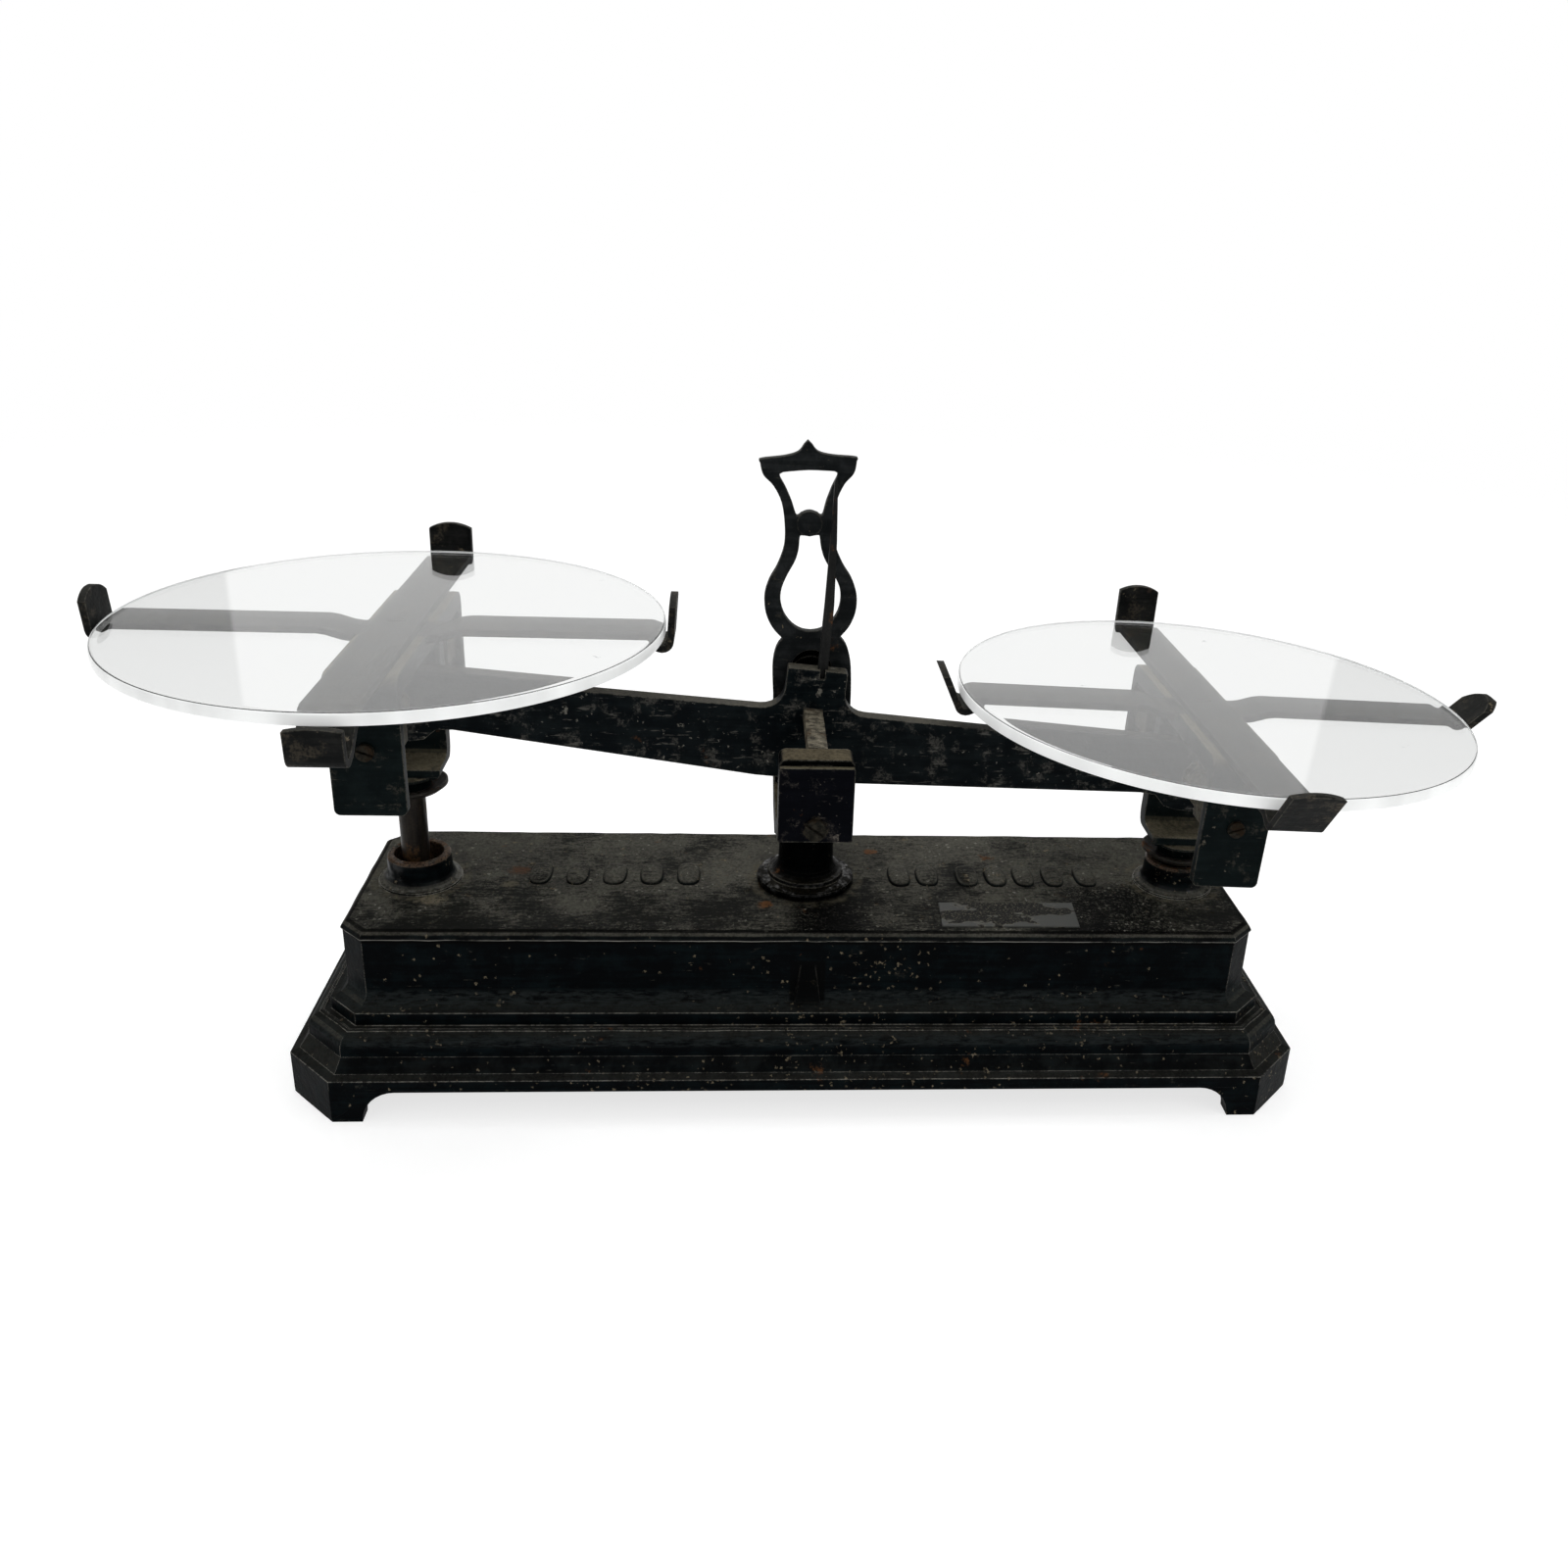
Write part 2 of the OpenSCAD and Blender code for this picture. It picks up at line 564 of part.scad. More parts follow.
base_casting();
column();
column_nut();
centre_bearings();
centre_cover_plates();
centre_cover_screws();
lyre();
lyre_rivets();
lever_hanger();
lever_pin();
beam();
centre_knife();
end_knives();
needle();
lower_lever();
left_carrier();
left_stem();
left_collar();
left_bearings();
left_bearing_screws();
left_long_strip();
left_cross_strip();
left_hub_screw();
left_stem_pin();
right_carrier();
right_stem();
right_collar();
right_bearings();
right_bearing_screws();
right_long_strip();
right_cross_strip();
right_hub_screw();
right_stem_pin();
left_pan();
right_pan();
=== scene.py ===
"""Counter balance scale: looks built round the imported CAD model.

Every length is in metres, in the same frame as the CAD: X along the scale, Y away from the user, Z up.
"""

import logging
import math
from dataclasses import dataclass
from enum import Enum
from typing import Any, Callable, Mapping, Sequence

import bmesh
import bpy
import numpy as np
from mathutils import Matrix, Vector


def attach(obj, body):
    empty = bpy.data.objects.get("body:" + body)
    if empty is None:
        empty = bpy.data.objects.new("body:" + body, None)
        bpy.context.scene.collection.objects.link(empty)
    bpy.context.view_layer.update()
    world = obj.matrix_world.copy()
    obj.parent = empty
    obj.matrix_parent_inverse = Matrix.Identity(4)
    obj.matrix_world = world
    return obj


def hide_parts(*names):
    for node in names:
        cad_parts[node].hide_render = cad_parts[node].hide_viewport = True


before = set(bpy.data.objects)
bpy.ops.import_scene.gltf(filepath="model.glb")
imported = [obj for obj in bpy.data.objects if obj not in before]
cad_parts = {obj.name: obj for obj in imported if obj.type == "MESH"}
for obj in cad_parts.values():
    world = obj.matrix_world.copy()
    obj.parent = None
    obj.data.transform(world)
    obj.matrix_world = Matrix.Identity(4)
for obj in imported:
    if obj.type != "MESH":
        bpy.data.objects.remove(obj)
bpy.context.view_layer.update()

LOG = logging.getLogger("balance_scale")
Triple = tuple[float, float, float]
Tone = Triple
Span = tuple[float, float]


class Body(str, Enum):
    """The bodies that new pieces ride on."""

    BASE = "base"
    LEFT_PAN = "left_pan"
    RIGHT_PAN = "right_pan"


class Slot(str, Enum):
    """Material slot names that the finishes carry."""

    PAINT = "black_paint"
    STEEL = "worn_steel"
    IRON = "rusty_iron"
    CLEAR = "clear_sheet"


# Shader maths


def operator(operation: str, swapped: bool = False) -> Callable[["Wire", "Value"], "Wire"]:
    """Makes a method of Wire that adds one Math node.

    Args:
        operation: the Math node's operation.
        swapped: whether the wire is its second value.

    Returns:
        The method.
    """
    def method(self: "Wire", other: "Value") -> "Wire":
        """Returns the result of the operation on this wire and another value."""
        first, second = (other, self) if swapped else (self, other)
        return self.maker.make("ShaderNodeMath", {"operation": operation}, {0: first, 1: second})
    return method


class Wire:
    """An output socket that takes part in Python arithmetic."""

    def __init__(self, maker: "NodeMaker", socket: bpy.types.NodeSocket) -> None:
        """Wraps one output socket, with the tree's node maker, which adds the Math nodes."""
        self.maker = maker
        self.socket = socket

    __add__ = operator("ADD")
    __radd__ = operator("ADD", swapped=True)
    __sub__ = operator("SUBTRACT")
    __rsub__ = operator("SUBTRACT", swapped=True)
    __mul__ = operator("MULTIPLY")
    __gt__ = operator("GREATER_THAN")
    least = operator("MINIMUM")
    most = operator("MAXIMUM")

    def __abs__(self) -> "Wire":
        """Returns the size of this wire without its sign."""
        return self.maker.make("ShaderNodeMath", {"operation": "ABSOLUTE"}, {0: self})


Value = Wire | float | tuple


class NodeMaker:
    """Adds nodes to one tree.

    RAGGED is how many turns a spot's outline takes over one spacing, WANDER how many spacings it strays.
    """

    RAGGED = 2.6
    WANDER = 1.25

    def __init__(self, tree: bpy.types.NodeTree) -> None:
        """Starts on the shader or geometry tree to fill."""
        self.tree = tree

    def make(self, kind: str, settings: Mapping[str, Any] | None = None,
             sockets: Mapping[str | int, Value] | None = None, out: str | int = 0) -> Wire:
        """Adds one node, sets it up and joins it.

        Args:
            kind: the node's type name.
            settings: the node's own properties, set before its sockets.
            sockets: values or wires by input name or number.
            out: the output wanted, by name or number.

        Returns:
            The wanted output.
        """
        node = self.tree.nodes.new(kind)
        for key, value in (settings or {}).items():
            setattr(node, key, value)
        for key, value in (sockets or {}).items():
            if isinstance(value, Wire):
                self.tree.links.new(value.socket, node.inputs[key])
            else:
                node.inputs[key].default_value = value
        return Wire(self, node.outputs[out]) if len(node.outputs) else Wire(self, node.inputs[0])

    def output(self, wire: Wire, index: str | int) -> Wire:
        """Returns another output of the node that a wire comes from."""
        return Wire(self, wire.socket.node.outputs[index])

    def smooth(self, value: Value, low: float, high: float, start: float = 0.0, end: float = 1.0) -> Wire:
        """Returns start to end, eased, while the value goes from low to high."""
        return self.make("ShaderNodeMapRange", {"interpolation_type": "SMOOTHSTEP"},
                         {"Value": value, "From Min": low, "From Max": high, "To Min": start, "To Max": end})

    def mix(self, factor: Value, first: Value, second: Value) -> Wire:
        """Mixes two colours.

        Args:
            factor: 0 for the first, 1 for the second.
            first: a tone or wire.
            second: a tone or wire.

        Returns:
            The mixed colour.
        """
        pair = [(*tone, 1.0) if isinstance(tone, tuple) else tone for tone in (first, second)]
        return self.make("ShaderNodeMix", {"data_type": "RGBA", "clamp_factor": True},
                         {0: factor, 6: pair[0], 7: pair[1]}, 2)

    def band(self, value: Wire, centre: float, reach: float, core: float) -> Wire:
        """Returns 1 where the value is within core of the centre, falling to 0 at reach."""
        return self.smooth(abs(value - centre), reach, core)

    def coordinates(self) -> Wire:
        """Returns object coordinates."""
        return self.make("ShaderNodeTexCoord", {}, {}, "Object")

    def facing(self) -> Wire:
        """Returns the direction that a face points in."""
        return self.make("ShaderNodeNewGeometry", {}, {}, "True Normal")

    def parts(self, vector: Wire) -> tuple[Wire, Wire, Wire]:
        """Returns the three parts of a vector."""
        first = self.make("ShaderNodeSeparateXYZ", {}, {0: vector}, "X")
        return first, self.output(first, "Y"), self.output(first, "Z")

    def length(self, vector: Wire) -> Wire:
        """Returns the length of a vector."""
        return self.make("ShaderNodeVectorMath", {"operation": "LENGTH"}, {0: vector}, "Value")

    def span(self, x: Wire, y: Wire) -> Wire:
        """Returns the distance of a point of a plane from its origin."""
        return self.length(self.make("ShaderNodeCombineXYZ", {}, {"X": x, "Y": y}))

    def bump(self, height: Wire, distance: float, normal: Wire) -> Wire:
        """Returns a normal raised and lowered by a height."""
        return self.make("ShaderNodeBump", {}, {
            "Strength": 1.0, "Distance": distance, "Height": height, "Normal": normal})

    def surface(self, sockets: Mapping[str | int, Value]) -> None:
        """Adds a Principled shader as the material's surface."""
        shader = self.make("ShaderNodeBsdfPrincipled", {}, sockets)
        self.make("ShaderNodeOutputMaterial", {}, {"Surface": shader})

    def stretch(self, vector: Wire, factors: Triple) -> Wire:
        """Returns a vector with each part multiplied."""
        return self.make("ShaderNodeVectorMath", {"operation": "MULTIPLY"}, {0: vector, 1: factors})

    def shift(self, vector: Wire, offset: Triple) -> Wire:
        """Returns a vector with an offset added."""
        return self.make("ShaderNodeVectorMath", {"operation": "ADD"}, {0: vector, 1: offset})

    def noise(self, vector: Wire, size: float, detail: float = 3.0, rough: float = 0.55) -> Wire:
        """Returns soft noise round 0.5, whose largest blots have the size given in metres."""
        return self.make("ShaderNodeTexNoise", {},
                         {"Vector": vector, "Scale": 1.0 / size, "Detail": detail, "Roughness": rough}, "Fac")

    def spots(self, vector: Wire, size: float, share: Value, radius: float) -> Wire:
        """Scattered spots of uneven size.

        Args:
            vector: where they are read.
            size: spacing of the spots in metres.
            share: share of the places that hold a spot.
            radius: the largest radius as a share of the spacing.

        Returns:
            1 inside a spot, 0 outside.
        """
        wobble = self.make("ShaderNodeTexNoise", {}, {
            "Vector": vector, "Scale": self.RAGGED / size, "Detail": 3.0}, "Color")
        drift = self.make("ShaderNodeVectorMath", {"operation": "MULTIPLY_ADD"}, {
            0: wobble, 1: (self.WANDER * size,) * 3, 2: vector})
        cell = self.make("ShaderNodeTexVoronoi", {}, {"Vector": drift, "Scale": 1.0 / size}, "Distance")
        pick = self.make("ShaderNodeSeparateColor", {}, {0: self.output(cell, "Color")}, 0)
        reach = self.output(pick, 1) * radius * 0.8 + radius * 0.2
        inside = self.smooth(cell - reach, 0.0, -0.12 * radius)
        return inside * (share > pick if isinstance(share, Wire) else 1.0 - (pick > share))


def shade(tone: Tone, factor: float) -> Tone:
    """Returns a tone made darker or lighter by a factor."""
    return tuple(factor * part for part in tone)


def new_tree(name: str) -> tuple[bpy.types.Material, NodeMaker]:
    """Makes an empty material.

    Args:
        name: the material's name.

    Returns:
        The material and a maker on its tree.
    """
    material = bpy.data.materials.new(name)
    material.use_nodes = True
    material.node_tree.nodes.clear()
    return material, NodeMaker(material.node_tree)


# Finishes


class Apart(Enum):
    """Offsets that keep one noise from repeating another."""

    BLOTS = (0.9, 0.6, 0.4)
    DRAG = (0.7, 0.1, 0.5)
    CROWD = (0.31, 0.12, 0.07)
    PINS = (0.11, 0.2, 0.3)
    RUST = (0.5, 0.4, 0.2)
    SPREAD = (0.2, 0.3, 0.1)
    GRIME = (0.07, 0.21, 0.0)


@dataclass(frozen=True)
class Surface:
    """A place on a painted piece as its shader sees it: where it is, how it faces and the shared noises."""

    maker: NodeMaker
    place: Wire
    soft: Wire
    rise: Wire
    x: Wire
    y: Wire
    z: Wire
    middle: Wire
    fine: Wire

    @classmethod
    def read(cls, maker: NodeMaker, edge: float) -> "Surface":
        """Adds the nodes that every coat of paint reads.

        Args:
            maker: the tree's node maker.
            edge: radius of the softened edges.

        Returns:
            The surface.
        """
        place = maker.coordinates()
        soft = maker.make("ShaderNodeBevel", {"samples": 6}, {"Radius": edge})
        return cls(maker, place, soft, maker.parts(soft)[2], *maker.parts(place),
                   maker.noise(place, 0.009, 4.0, 0.6), maker.noise(place, 0.0014, 3.0, 0.7))


@dataclass(frozen=True)
class Coat:
    """Old black paint over cast or forged iron, with dust, chips, rust and broken edges, and a faint haze of
    dust and painted sheen on faces that slope up.
    """

    name: str
    tint: Tone = (0.0007, 0.0013, 0.0018)
    cloud: Tone = (0.0022, 0.0036, 0.0038)
    cloud_span: Span = (0.42, 0.66)
    dust_tone: Tone = (0.056, 0.054, 0.044)
    dust: float = 0.5
    dust_from: float = 0.55
    dust_full: float = 0.96
    dust_span: Span = (0.44, 0.84)
    # The haze is dust that also paints a sheen of reflected sky on faces that slope up.
    haze_and_sheen: float = 0.10
    haze_and_sheen_span: Span = (0.34, 0.62)
    patch_tone: Tone = (0.034, 0.032, 0.026)
    patch: float = 0.10
    patch_span: Span = (0.66, 0.74)
    scuff: float = 0.06
    scuff_span: Span = (0.66, 0.72)
    scuff_gain: float = 1.5
    chip_tone: Tone = (0.150, 0.125, 0.085)
    chip_size: float = 0.0075
    chip_share: float = 0.28
    pin_scale: float = 0.36
    rust_tone: Tone = (0.120, 0.052, 0.020)
    rust_share: float = 0.06
    rust_span: Span = (0.70, 0.78)
    # A bright wear tone also paints edge highlights, as on the base.
    wear_tone: Tone = (0.150, 0.142, 0.118)
    wear: float = 0.75
    wear_span: Span = (0.016, 0.11)
    edge: float = 0.0008
    grain: float = 0.00018
    specular: float = 0.025
    roughness: float = 0.46
    gloss_roughness: float = 0.16
    slot: Slot = Slot.PAINT

    def build(self) -> bpy.types.Material:
        """Builds the material.

        Returns:
            The finished material.
        """
        material, maker = new_tree(self.name)
        at = Surface.read(maker, self.edge)
        streak = maker.noise(maker.stretch(at.place, (0.06, 1.0, 1.0)), 0.0022, 3.0, 0.6)
        clouds = maker.smooth(at.middle * 0.6 + streak * 0.4, *self.cloud_span)
        lying = self.dust_lying(at)
        colour = maker.mix(lying, maker.mix(clouds, self.tint, self.cloud), self.dust_tone)
        colour = self.scuffs(at, colour)
        chip, colour = self.chips(at, colour)
        colour = self.marks(at, self.worn_edges(at, self.rust(at, colour)))

        height = at.fine * 0.5 + at.middle * 1.6 + streak * 0.22 - chip * 0.7
        rough = self.roughness - 0.08 + at.middle * 0.16 + lying * 0.28 + chip * 0.2
        maker.surface({
            "Base Color": colour, "Roughness": rough.least(0.95), "Specular IOR Level": self.specular,
            "Normal": maker.bump(height, self.grain, at.soft), "Coat Weight": self.shine(at),
            "Coat Roughness": self.gloss_roughness})
        return material

    def dust_lying(self, at: Surface) -> Wire:
        """Works out how much dust lies on a place: the more it faces up, the more; a faint haze on rising
        faces is dust and painted sheen.

        Args:
            at: the surface.

        Returns:
            The share of dust.
        """
        maker = at.maker
        blots = maker.noise(at.place, 0.045, 3.0) * 0.3 + at.middle * 0.3 + at.fine * 0.7
        dusty = maker.smooth(at.rise, self.dust_from, self.dust_full) * self.dust * self.settle(at)
        # Painted sheen: a faint dust haze that lightens faces sloping up, standing in for reflected sky.
        haze_and_sheen = maker.smooth(at.rise, 0.0, 0.7) * maker.smooth(at.middle, *self.haze_and_sheen_span) * self.haze_and_sheen
        return (dusty * maker.smooth(blots, *self.dust_span, 0.30, 1.0)).most(haze_and_sheen)

    def scuffs(self, at: Surface, colour: Wire) -> Wire:
        """Adds rubbed patches and drag marks.

        Args:
            at: the surface.
            colour: the colour so far.

        Returns:
            The colour.
        """
        maker = at.maker
        blot = maker.noise(maker.shift(at.place, Apart.BLOTS.value), 0.013, 7.0, 0.72)
        rubbed = maker.smooth(blot, *(end - self.patch for end in self.patch_span))
        colour = maker.mix(rubbed * maker.smooth(at.fine, 0.36, 0.58) * 0.8, colour, self.patch_tone)
        along = maker.stretch(maker.shift(at.place, Apart.DRAG.value), (0.16, 1.0, 1.0))
        drag = maker.noise(along, 0.0016, 4.0, 0.7) * 0.75 + blot * 0.25
        scuffed = maker.smooth(drag, *(end - self.scuff for end in self.scuff_span))
        return maker.mix(scuffed * 0.7, colour, shade(self.patch_tone, self.scuff_gain))

    def chips(self, at: Surface, colour: Wire) -> tuple[Wire, Wire]:
        """Adds chips and pinholes, crowded in places.

        Args:
            at: the surface.
            colour: the colour so far.

        Returns:
            1 inside a large chip, and the colour.
        """
        maker = at.maker
        crowd = maker.smooth(maker.noise(maker.shift(at.place, Apart.CROWD.value), 0.05, 2.0), 0.40, 0.66)
        chip = maker.spots(at.place, self.chip_size, crowd * self.chip_share, 0.30)
        pin = maker.spots(maker.shift(at.place, Apart.PINS.value), self.chip_size * self.pin_scale,
                          crowd * self.chip_share * 0.8 + self.chip_share * 0.10, 0.34)
        tone = maker.mix(maker.smooth(at.fine, 0.40, 0.62), shade(self.chip_tone, 0.42), self.chip_tone)
        return chip, maker.mix(chip.most(pin) * maker.smooth(at.fine, 0.34, 0.52, 0.35, 0.95), colour, tone)

    def rust(self, at: Surface, colour: Wire) -> Wire:
        """Adds blooms of rust.

        Args:
            at: the surface.
            colour: the colour so far.

        Returns:
            The colour.
        """
        maker = at.maker
        bloom = maker.noise(maker.shift(at.place, Apart.RUST.value), 0.016, 5.0, 0.68)
        rusted = maker.smooth(bloom, *(end - self.rust_share for end in self.rust_span))
        tone = maker.mix(at.fine, shade(self.rust_tone, 0.3), self.rust_tone)
        return maker.mix(rusted * 0.85, colour, tone)

    def worn_edges(self, at: Surface, colour: Wire) -> Wire:
        """Rubs the edges bare in broken lines; where the wear tone is bright, as on the base, this is also a
        painted highlight.

        Args:
            at: the surface.
            colour: the colour so far.

        Returns:
            The colour.
        """
        maker = at.maker
        match = maker.make("ShaderNodeVectorMath", {"operation": "DOT_PRODUCT"},
                           {0: at.soft, 1: maker.facing()}, "Value")
        broken = maker.smooth(at.middle * 0.5 + at.fine * 0.5, 0.42, 0.58, 0.15, 1.0)
        worn = maker.smooth(1.0 - match, *self.wear_span) * broken * self.wear * self.rub(at)
        return maker.mix(worn, colour, self.wear_tone)

    def settle(self, at: Surface) -> Value:
        """Returns the share of the dust that a place keeps."""
        return 1.0

    def shine(self, at: Surface) -> Value:
        """Returns how much gloss is left at a place."""
        return 0.0

    def rub(self, at: Surface) -> Value:
        """Returns how far the edges at a place are rubbed bare."""
        return 1.0

    def marks(self, at: Surface, colour: Wire) -> Wire:
        """Adds marks that belong to one place of a piece, and returns the colour."""
        return colour


@dataclass(frozen=True)
class BaseCoat(Coat):
    """The base casting's paint: a dusty gritty top, dirt round what stands on it, rusty tube rims."""

    tube_x: float = 0.172
    boss_r: float = 0.0185
    rim_r: float = 0.01395
    bore_r: float = 0.0110
    ring_r: float = 0.0240
    top_z: float = 0.0775
    lip_z: float = 0.0739
    under_z: float = 0.0727
    cove_z: Span = (0.0460, 0.0335)
    wedge_z: float = 0.0545
    front_y: float = -0.0462
    foot_z: float = 0.0146
    # Rubbed bare edge and painted highlight of the lip.
    lip_wear_and_highlight: Tone = (0.26, 0.255, 0.23)
    # Painted shade under the lip and in the groove.
    pitch: Tone = (0.0008, 0.0009, 0.0009)
    dark_patch_tone: Tone = (0.0012, 0.0014, 0.0014)
    grime: Tone = (0.0018, 0.0024, 0.0024)
    flecks: Tone = (0.17, 0.165, 0.14)
    # Painted highlight on the coves.
    painted_cove_highlight: Tone = (0.017, 0.021, 0.021)
    wedge_tone: Tone = (0.0009, 0.0011, 0.0011)
    tan: Tone = (0.090, 0.080, 0.056)
    rim_tones: tuple[Tone, Tone] = ((0.016, 0.011, 0.008), (0.100, 0.062, 0.038))
    stains: tuple[tuple[float, float, float, Tone], ...] = (
        (-0.1633, -0.0209, 0.0075, (0.15, 0.13, 0.092)),
        (-0.1295, 0.0071, 0.0065, (0.075, 0.035, 0.018)),
        (0.0321, 0.0288, 0.0042, (0.13, 0.052, 0.018)),
        (-0.0183, -0.0238, 0.0048, (0.12, 0.052, 0.018)),
        (-0.1322, -0.0061, 0.005, (0.085, 0.075, 0.052)))

    def settle(self, at: Surface) -> Value:
        """Keeps the dust on the top plate and the corners, with little on the ledges.

        Args:
            at: the surface.

        Returns:
            The share kept.
        """
        maker = at.maker
        east, north, _ = maker.parts(maker.facing())
        corner = maker.smooth(abs(east * north), 0.08, 0.25)
        return maker.smooth(at.z, self.top_z - 0.006, self.top_z - 0.003, 0.16, 1.0).most(corner * 0.9)

    def rub(self, at: Surface) -> Value:
        """Leaves the feet's edges dark."""
        return at.maker.smooth(at.z, self.foot_z, self.foot_z + 0.0024)

    def shine(self, at: Surface) -> Value:
        """Leaves some gloss on the bosses round the tubes.

        Args:
            at: the surface.

        Returns:
            The gloss.
        """
        maker = at.maker
        boss = maker.smooth(self.from_tube(at), self.boss_r + 0.0005, self.boss_r - 0.0005)
        lump = maker.smooth(maker.noise(at.place, 0.004, 3.0), 0.40, 0.62)
        return boss * maker.smooth(at.z, self.top_z, self.top_z + 0.001) * lump * 0.30

    def from_tube(self, at: Surface) -> Wire:
        """Returns the distance from the nearer guide tube's axis."""
        return at.maker.span(abs(at.x) - self.tube_x, at.y)

    def marks(self, at: Surface, colour: Wire) -> Wire:
        """Adds the top plate's grit, stains and rings and the moulding's lines, painted highlights and
        painted shade.

        Args:
            at: the surface.
            colour: the colour so far.

        Returns:
            The colour.
        """
        maker = at.maker
        top = maker.smooth(at.z, self.top_z - 0.004, self.top_z - 0.0005) * maker.smooth(at.rise, 0.8, 0.97)
        grit = maker.noise(at.place, 0.0011, 4.0, 0.75)
        brush = maker.noise(maker.stretch(at.place, (0.22, 1.0, 1.0)), 0.0013, 4.0, 0.72)
        colour = self.top_dirt(at, top, grit, brush, colour)
        colour = self.mould_lines(at, brush, colour)
        ragged = maker.noise(at.place, 0.004, 4.0, 0.7) * 1.4
        for x, y, size, tone in self.stains:
            local = maker.stretch(maker.shift(at.place, (-x, -y, -self.top_z)), (1.0 / size, 1.3 / size, 1.0))
            near = maker.smooth(maker.length(local) + ragged, 1.7, 1.2)
            stain = near * top * maker.smooth(grit, 0.36, 0.52)
            colour = maker.mix(stain * 0.85, colour, tone)
        return self.rings(at, top, grit, colour)

    def top_dirt(self, at: Surface, top: Wire, grit: Wire, brush: Wire, colour: Wire) -> Wire:
        """Darkens the top plate in patches, more towards the front, adds two dark patches and sprinkles it
        with flecks.

        Args:
            at: the surface.
            top: 1 on the top plate.
            grit: fine noise.
            brush: noise drawn out along the base.
            colour: the colour so far.

        Returns:
            The colour.
        """
        maker = at.maker
        patch = maker.noise(maker.shift(at.place, Apart.GRIME.value), 0.034, 5.0, 0.62)
        # Darker towards the front of the top plate.
        near = maker.smooth(at.y, 0.020, -0.042)
        dark = maker.smooth(patch * 0.5 + grit * 0.35 + brush * 0.35 - near * 0.085, 0.61, 0.49)
        colour = maker.mix(dark * top * 0.9, colour, self.grime)
        # Two dark patches: in front of the column and to the front left of the right tube.
        dark_patch = maker.band(at.x, 0.008, 0.022, 0.008) * maker.smooth(at.y, -0.018, -0.026)
        dark_patch = dark_patch.most(maker.band(at.x, 0.140, 0.034, 0.012) * maker.smooth(at.y, 0.004, -0.012))
        colour = maker.mix(dark_patch * top * maker.smooth(grit, 0.60, 0.50), colour, self.dark_patch_tone)
        fleck = maker.spots(maker.stretch(at.place, (1.0, 1.0, 0.2)), 0.0024, 0.35, 0.34)
        return maker.mix(fleck * top * maker.smooth(patch, 0.40, 0.60), colour, self.flecks)

    def mould_lines(self, at: Surface, brush: Wire, colour: Wire) -> Wire:
        """Draws the lip's rubbed edge with its painted highlight, painted shade in the groove and under the
        lip, painted highlights on the coves and the dark wedge.

        Args:
            at: the surface.
            brush: noise drawn out along the base.
            colour: the colour so far.

        Returns:
            The colour.
        """
        maker = at.maker
        broken = maker.noise(maker.stretch(at.place, (0.3, 1.0, 1.0)), 0.006, 4.0, 0.7)
        # Painted highlight: the lip's lower edge is a bright broken line, rubbed bare and lit.
        lip = maker.band(at.z, self.lip_z, 0.00042, 0.00016) * maker.smooth(at.rise, 0.75, 0.45)
        colour = maker.mix(lip * maker.smooth(broken, 0.40, 0.56) * 0.9, colour, self.lip_wear_and_highlight)
        # Painted shade: dark lines under the lip and in the groove at the top plate's edge.
        under = maker.band(at.z, self.under_z, 0.0009, 0.0004) * maker.smooth(at.rise, 0.6, 0.3)
        groove_shade = maker.smooth(at.z, self.top_z - 0.00002, self.top_z - 0.0001)
        groove_shade = groove_shade * maker.smooth(at.z, self.top_z - 0.0007, self.top_z - 0.0005)
        colour = maker.mix(under.most(groove_shade) * 0.85, colour, self.pitch)
        # Painted highlight: paler bands along the coves, where they catch the light.
        high, low = self.cove_z
        cove_highlight = maker.band(at.z, high, 0.0050, 0.0015).most(maker.band(at.z, low, 0.0030, 0.0010) * 0.8)
        colour = maker.mix(cove_highlight * maker.smooth(brush, 0.38, 0.60) * 0.8, colour, self.painted_cove_highlight)
        wedge = maker.band(at.x, 0.0, 0.0082, 0.0070) * maker.band(at.z, self.wedge_z, 0.0102, 0.0092)
        front = maker.smooth(at.y, self.front_y, self.front_y - 0.0013)
        return maker.mix(wedge * front * 0.88, colour, self.wedge_tone)

    def rings(self, at: Surface, top: Wire, grit: Wire, colour: Wire) -> Wire:
        """Adds dirt round the column and the tubes, and rust on the tubes' rims.

        Args:
            at: the surface.
            top: 1 on the top plate.
            grit: fine noise.
            colour: the colour so far.

        Returns:
            The colour.
        """
        maker = at.maker
        reach = self.from_tube(at)
        ragged = maker.noise(at.place, 0.006, 4.0, 0.65)
        dirt = maker.band(maker.span(at.x, at.y), self.ring_r, 0.0036, 0.0004).most(
            maker.band(reach, self.boss_r + 0.0015, 0.0032, 0.0004))
        colour = maker.mix(dirt * top * maker.smooth(ragged, 0.40, 0.64) * 0.7, colour, self.tan)
        rim = maker.smooth(at.z, self.top_z + 0.0112, self.top_z + 0.0126)
        rim = rim * maker.smooth(reach, self.rim_r + 0.00025, self.rim_r - 0.00025)
        bore = maker.smooth(reach, self.bore_r + 0.0002, self.bore_r - 0.0002)
        bore = bore * maker.smooth(at.z, self.top_z - 0.03, self.top_z) * 0.5
        rust = maker.mix(maker.smooth(grit, 0.36, 0.62), *self.rim_tones)
        return maker.mix((rim * maker.smooth(ragged, 0.30, 0.50)).most(bore), colour, rust)


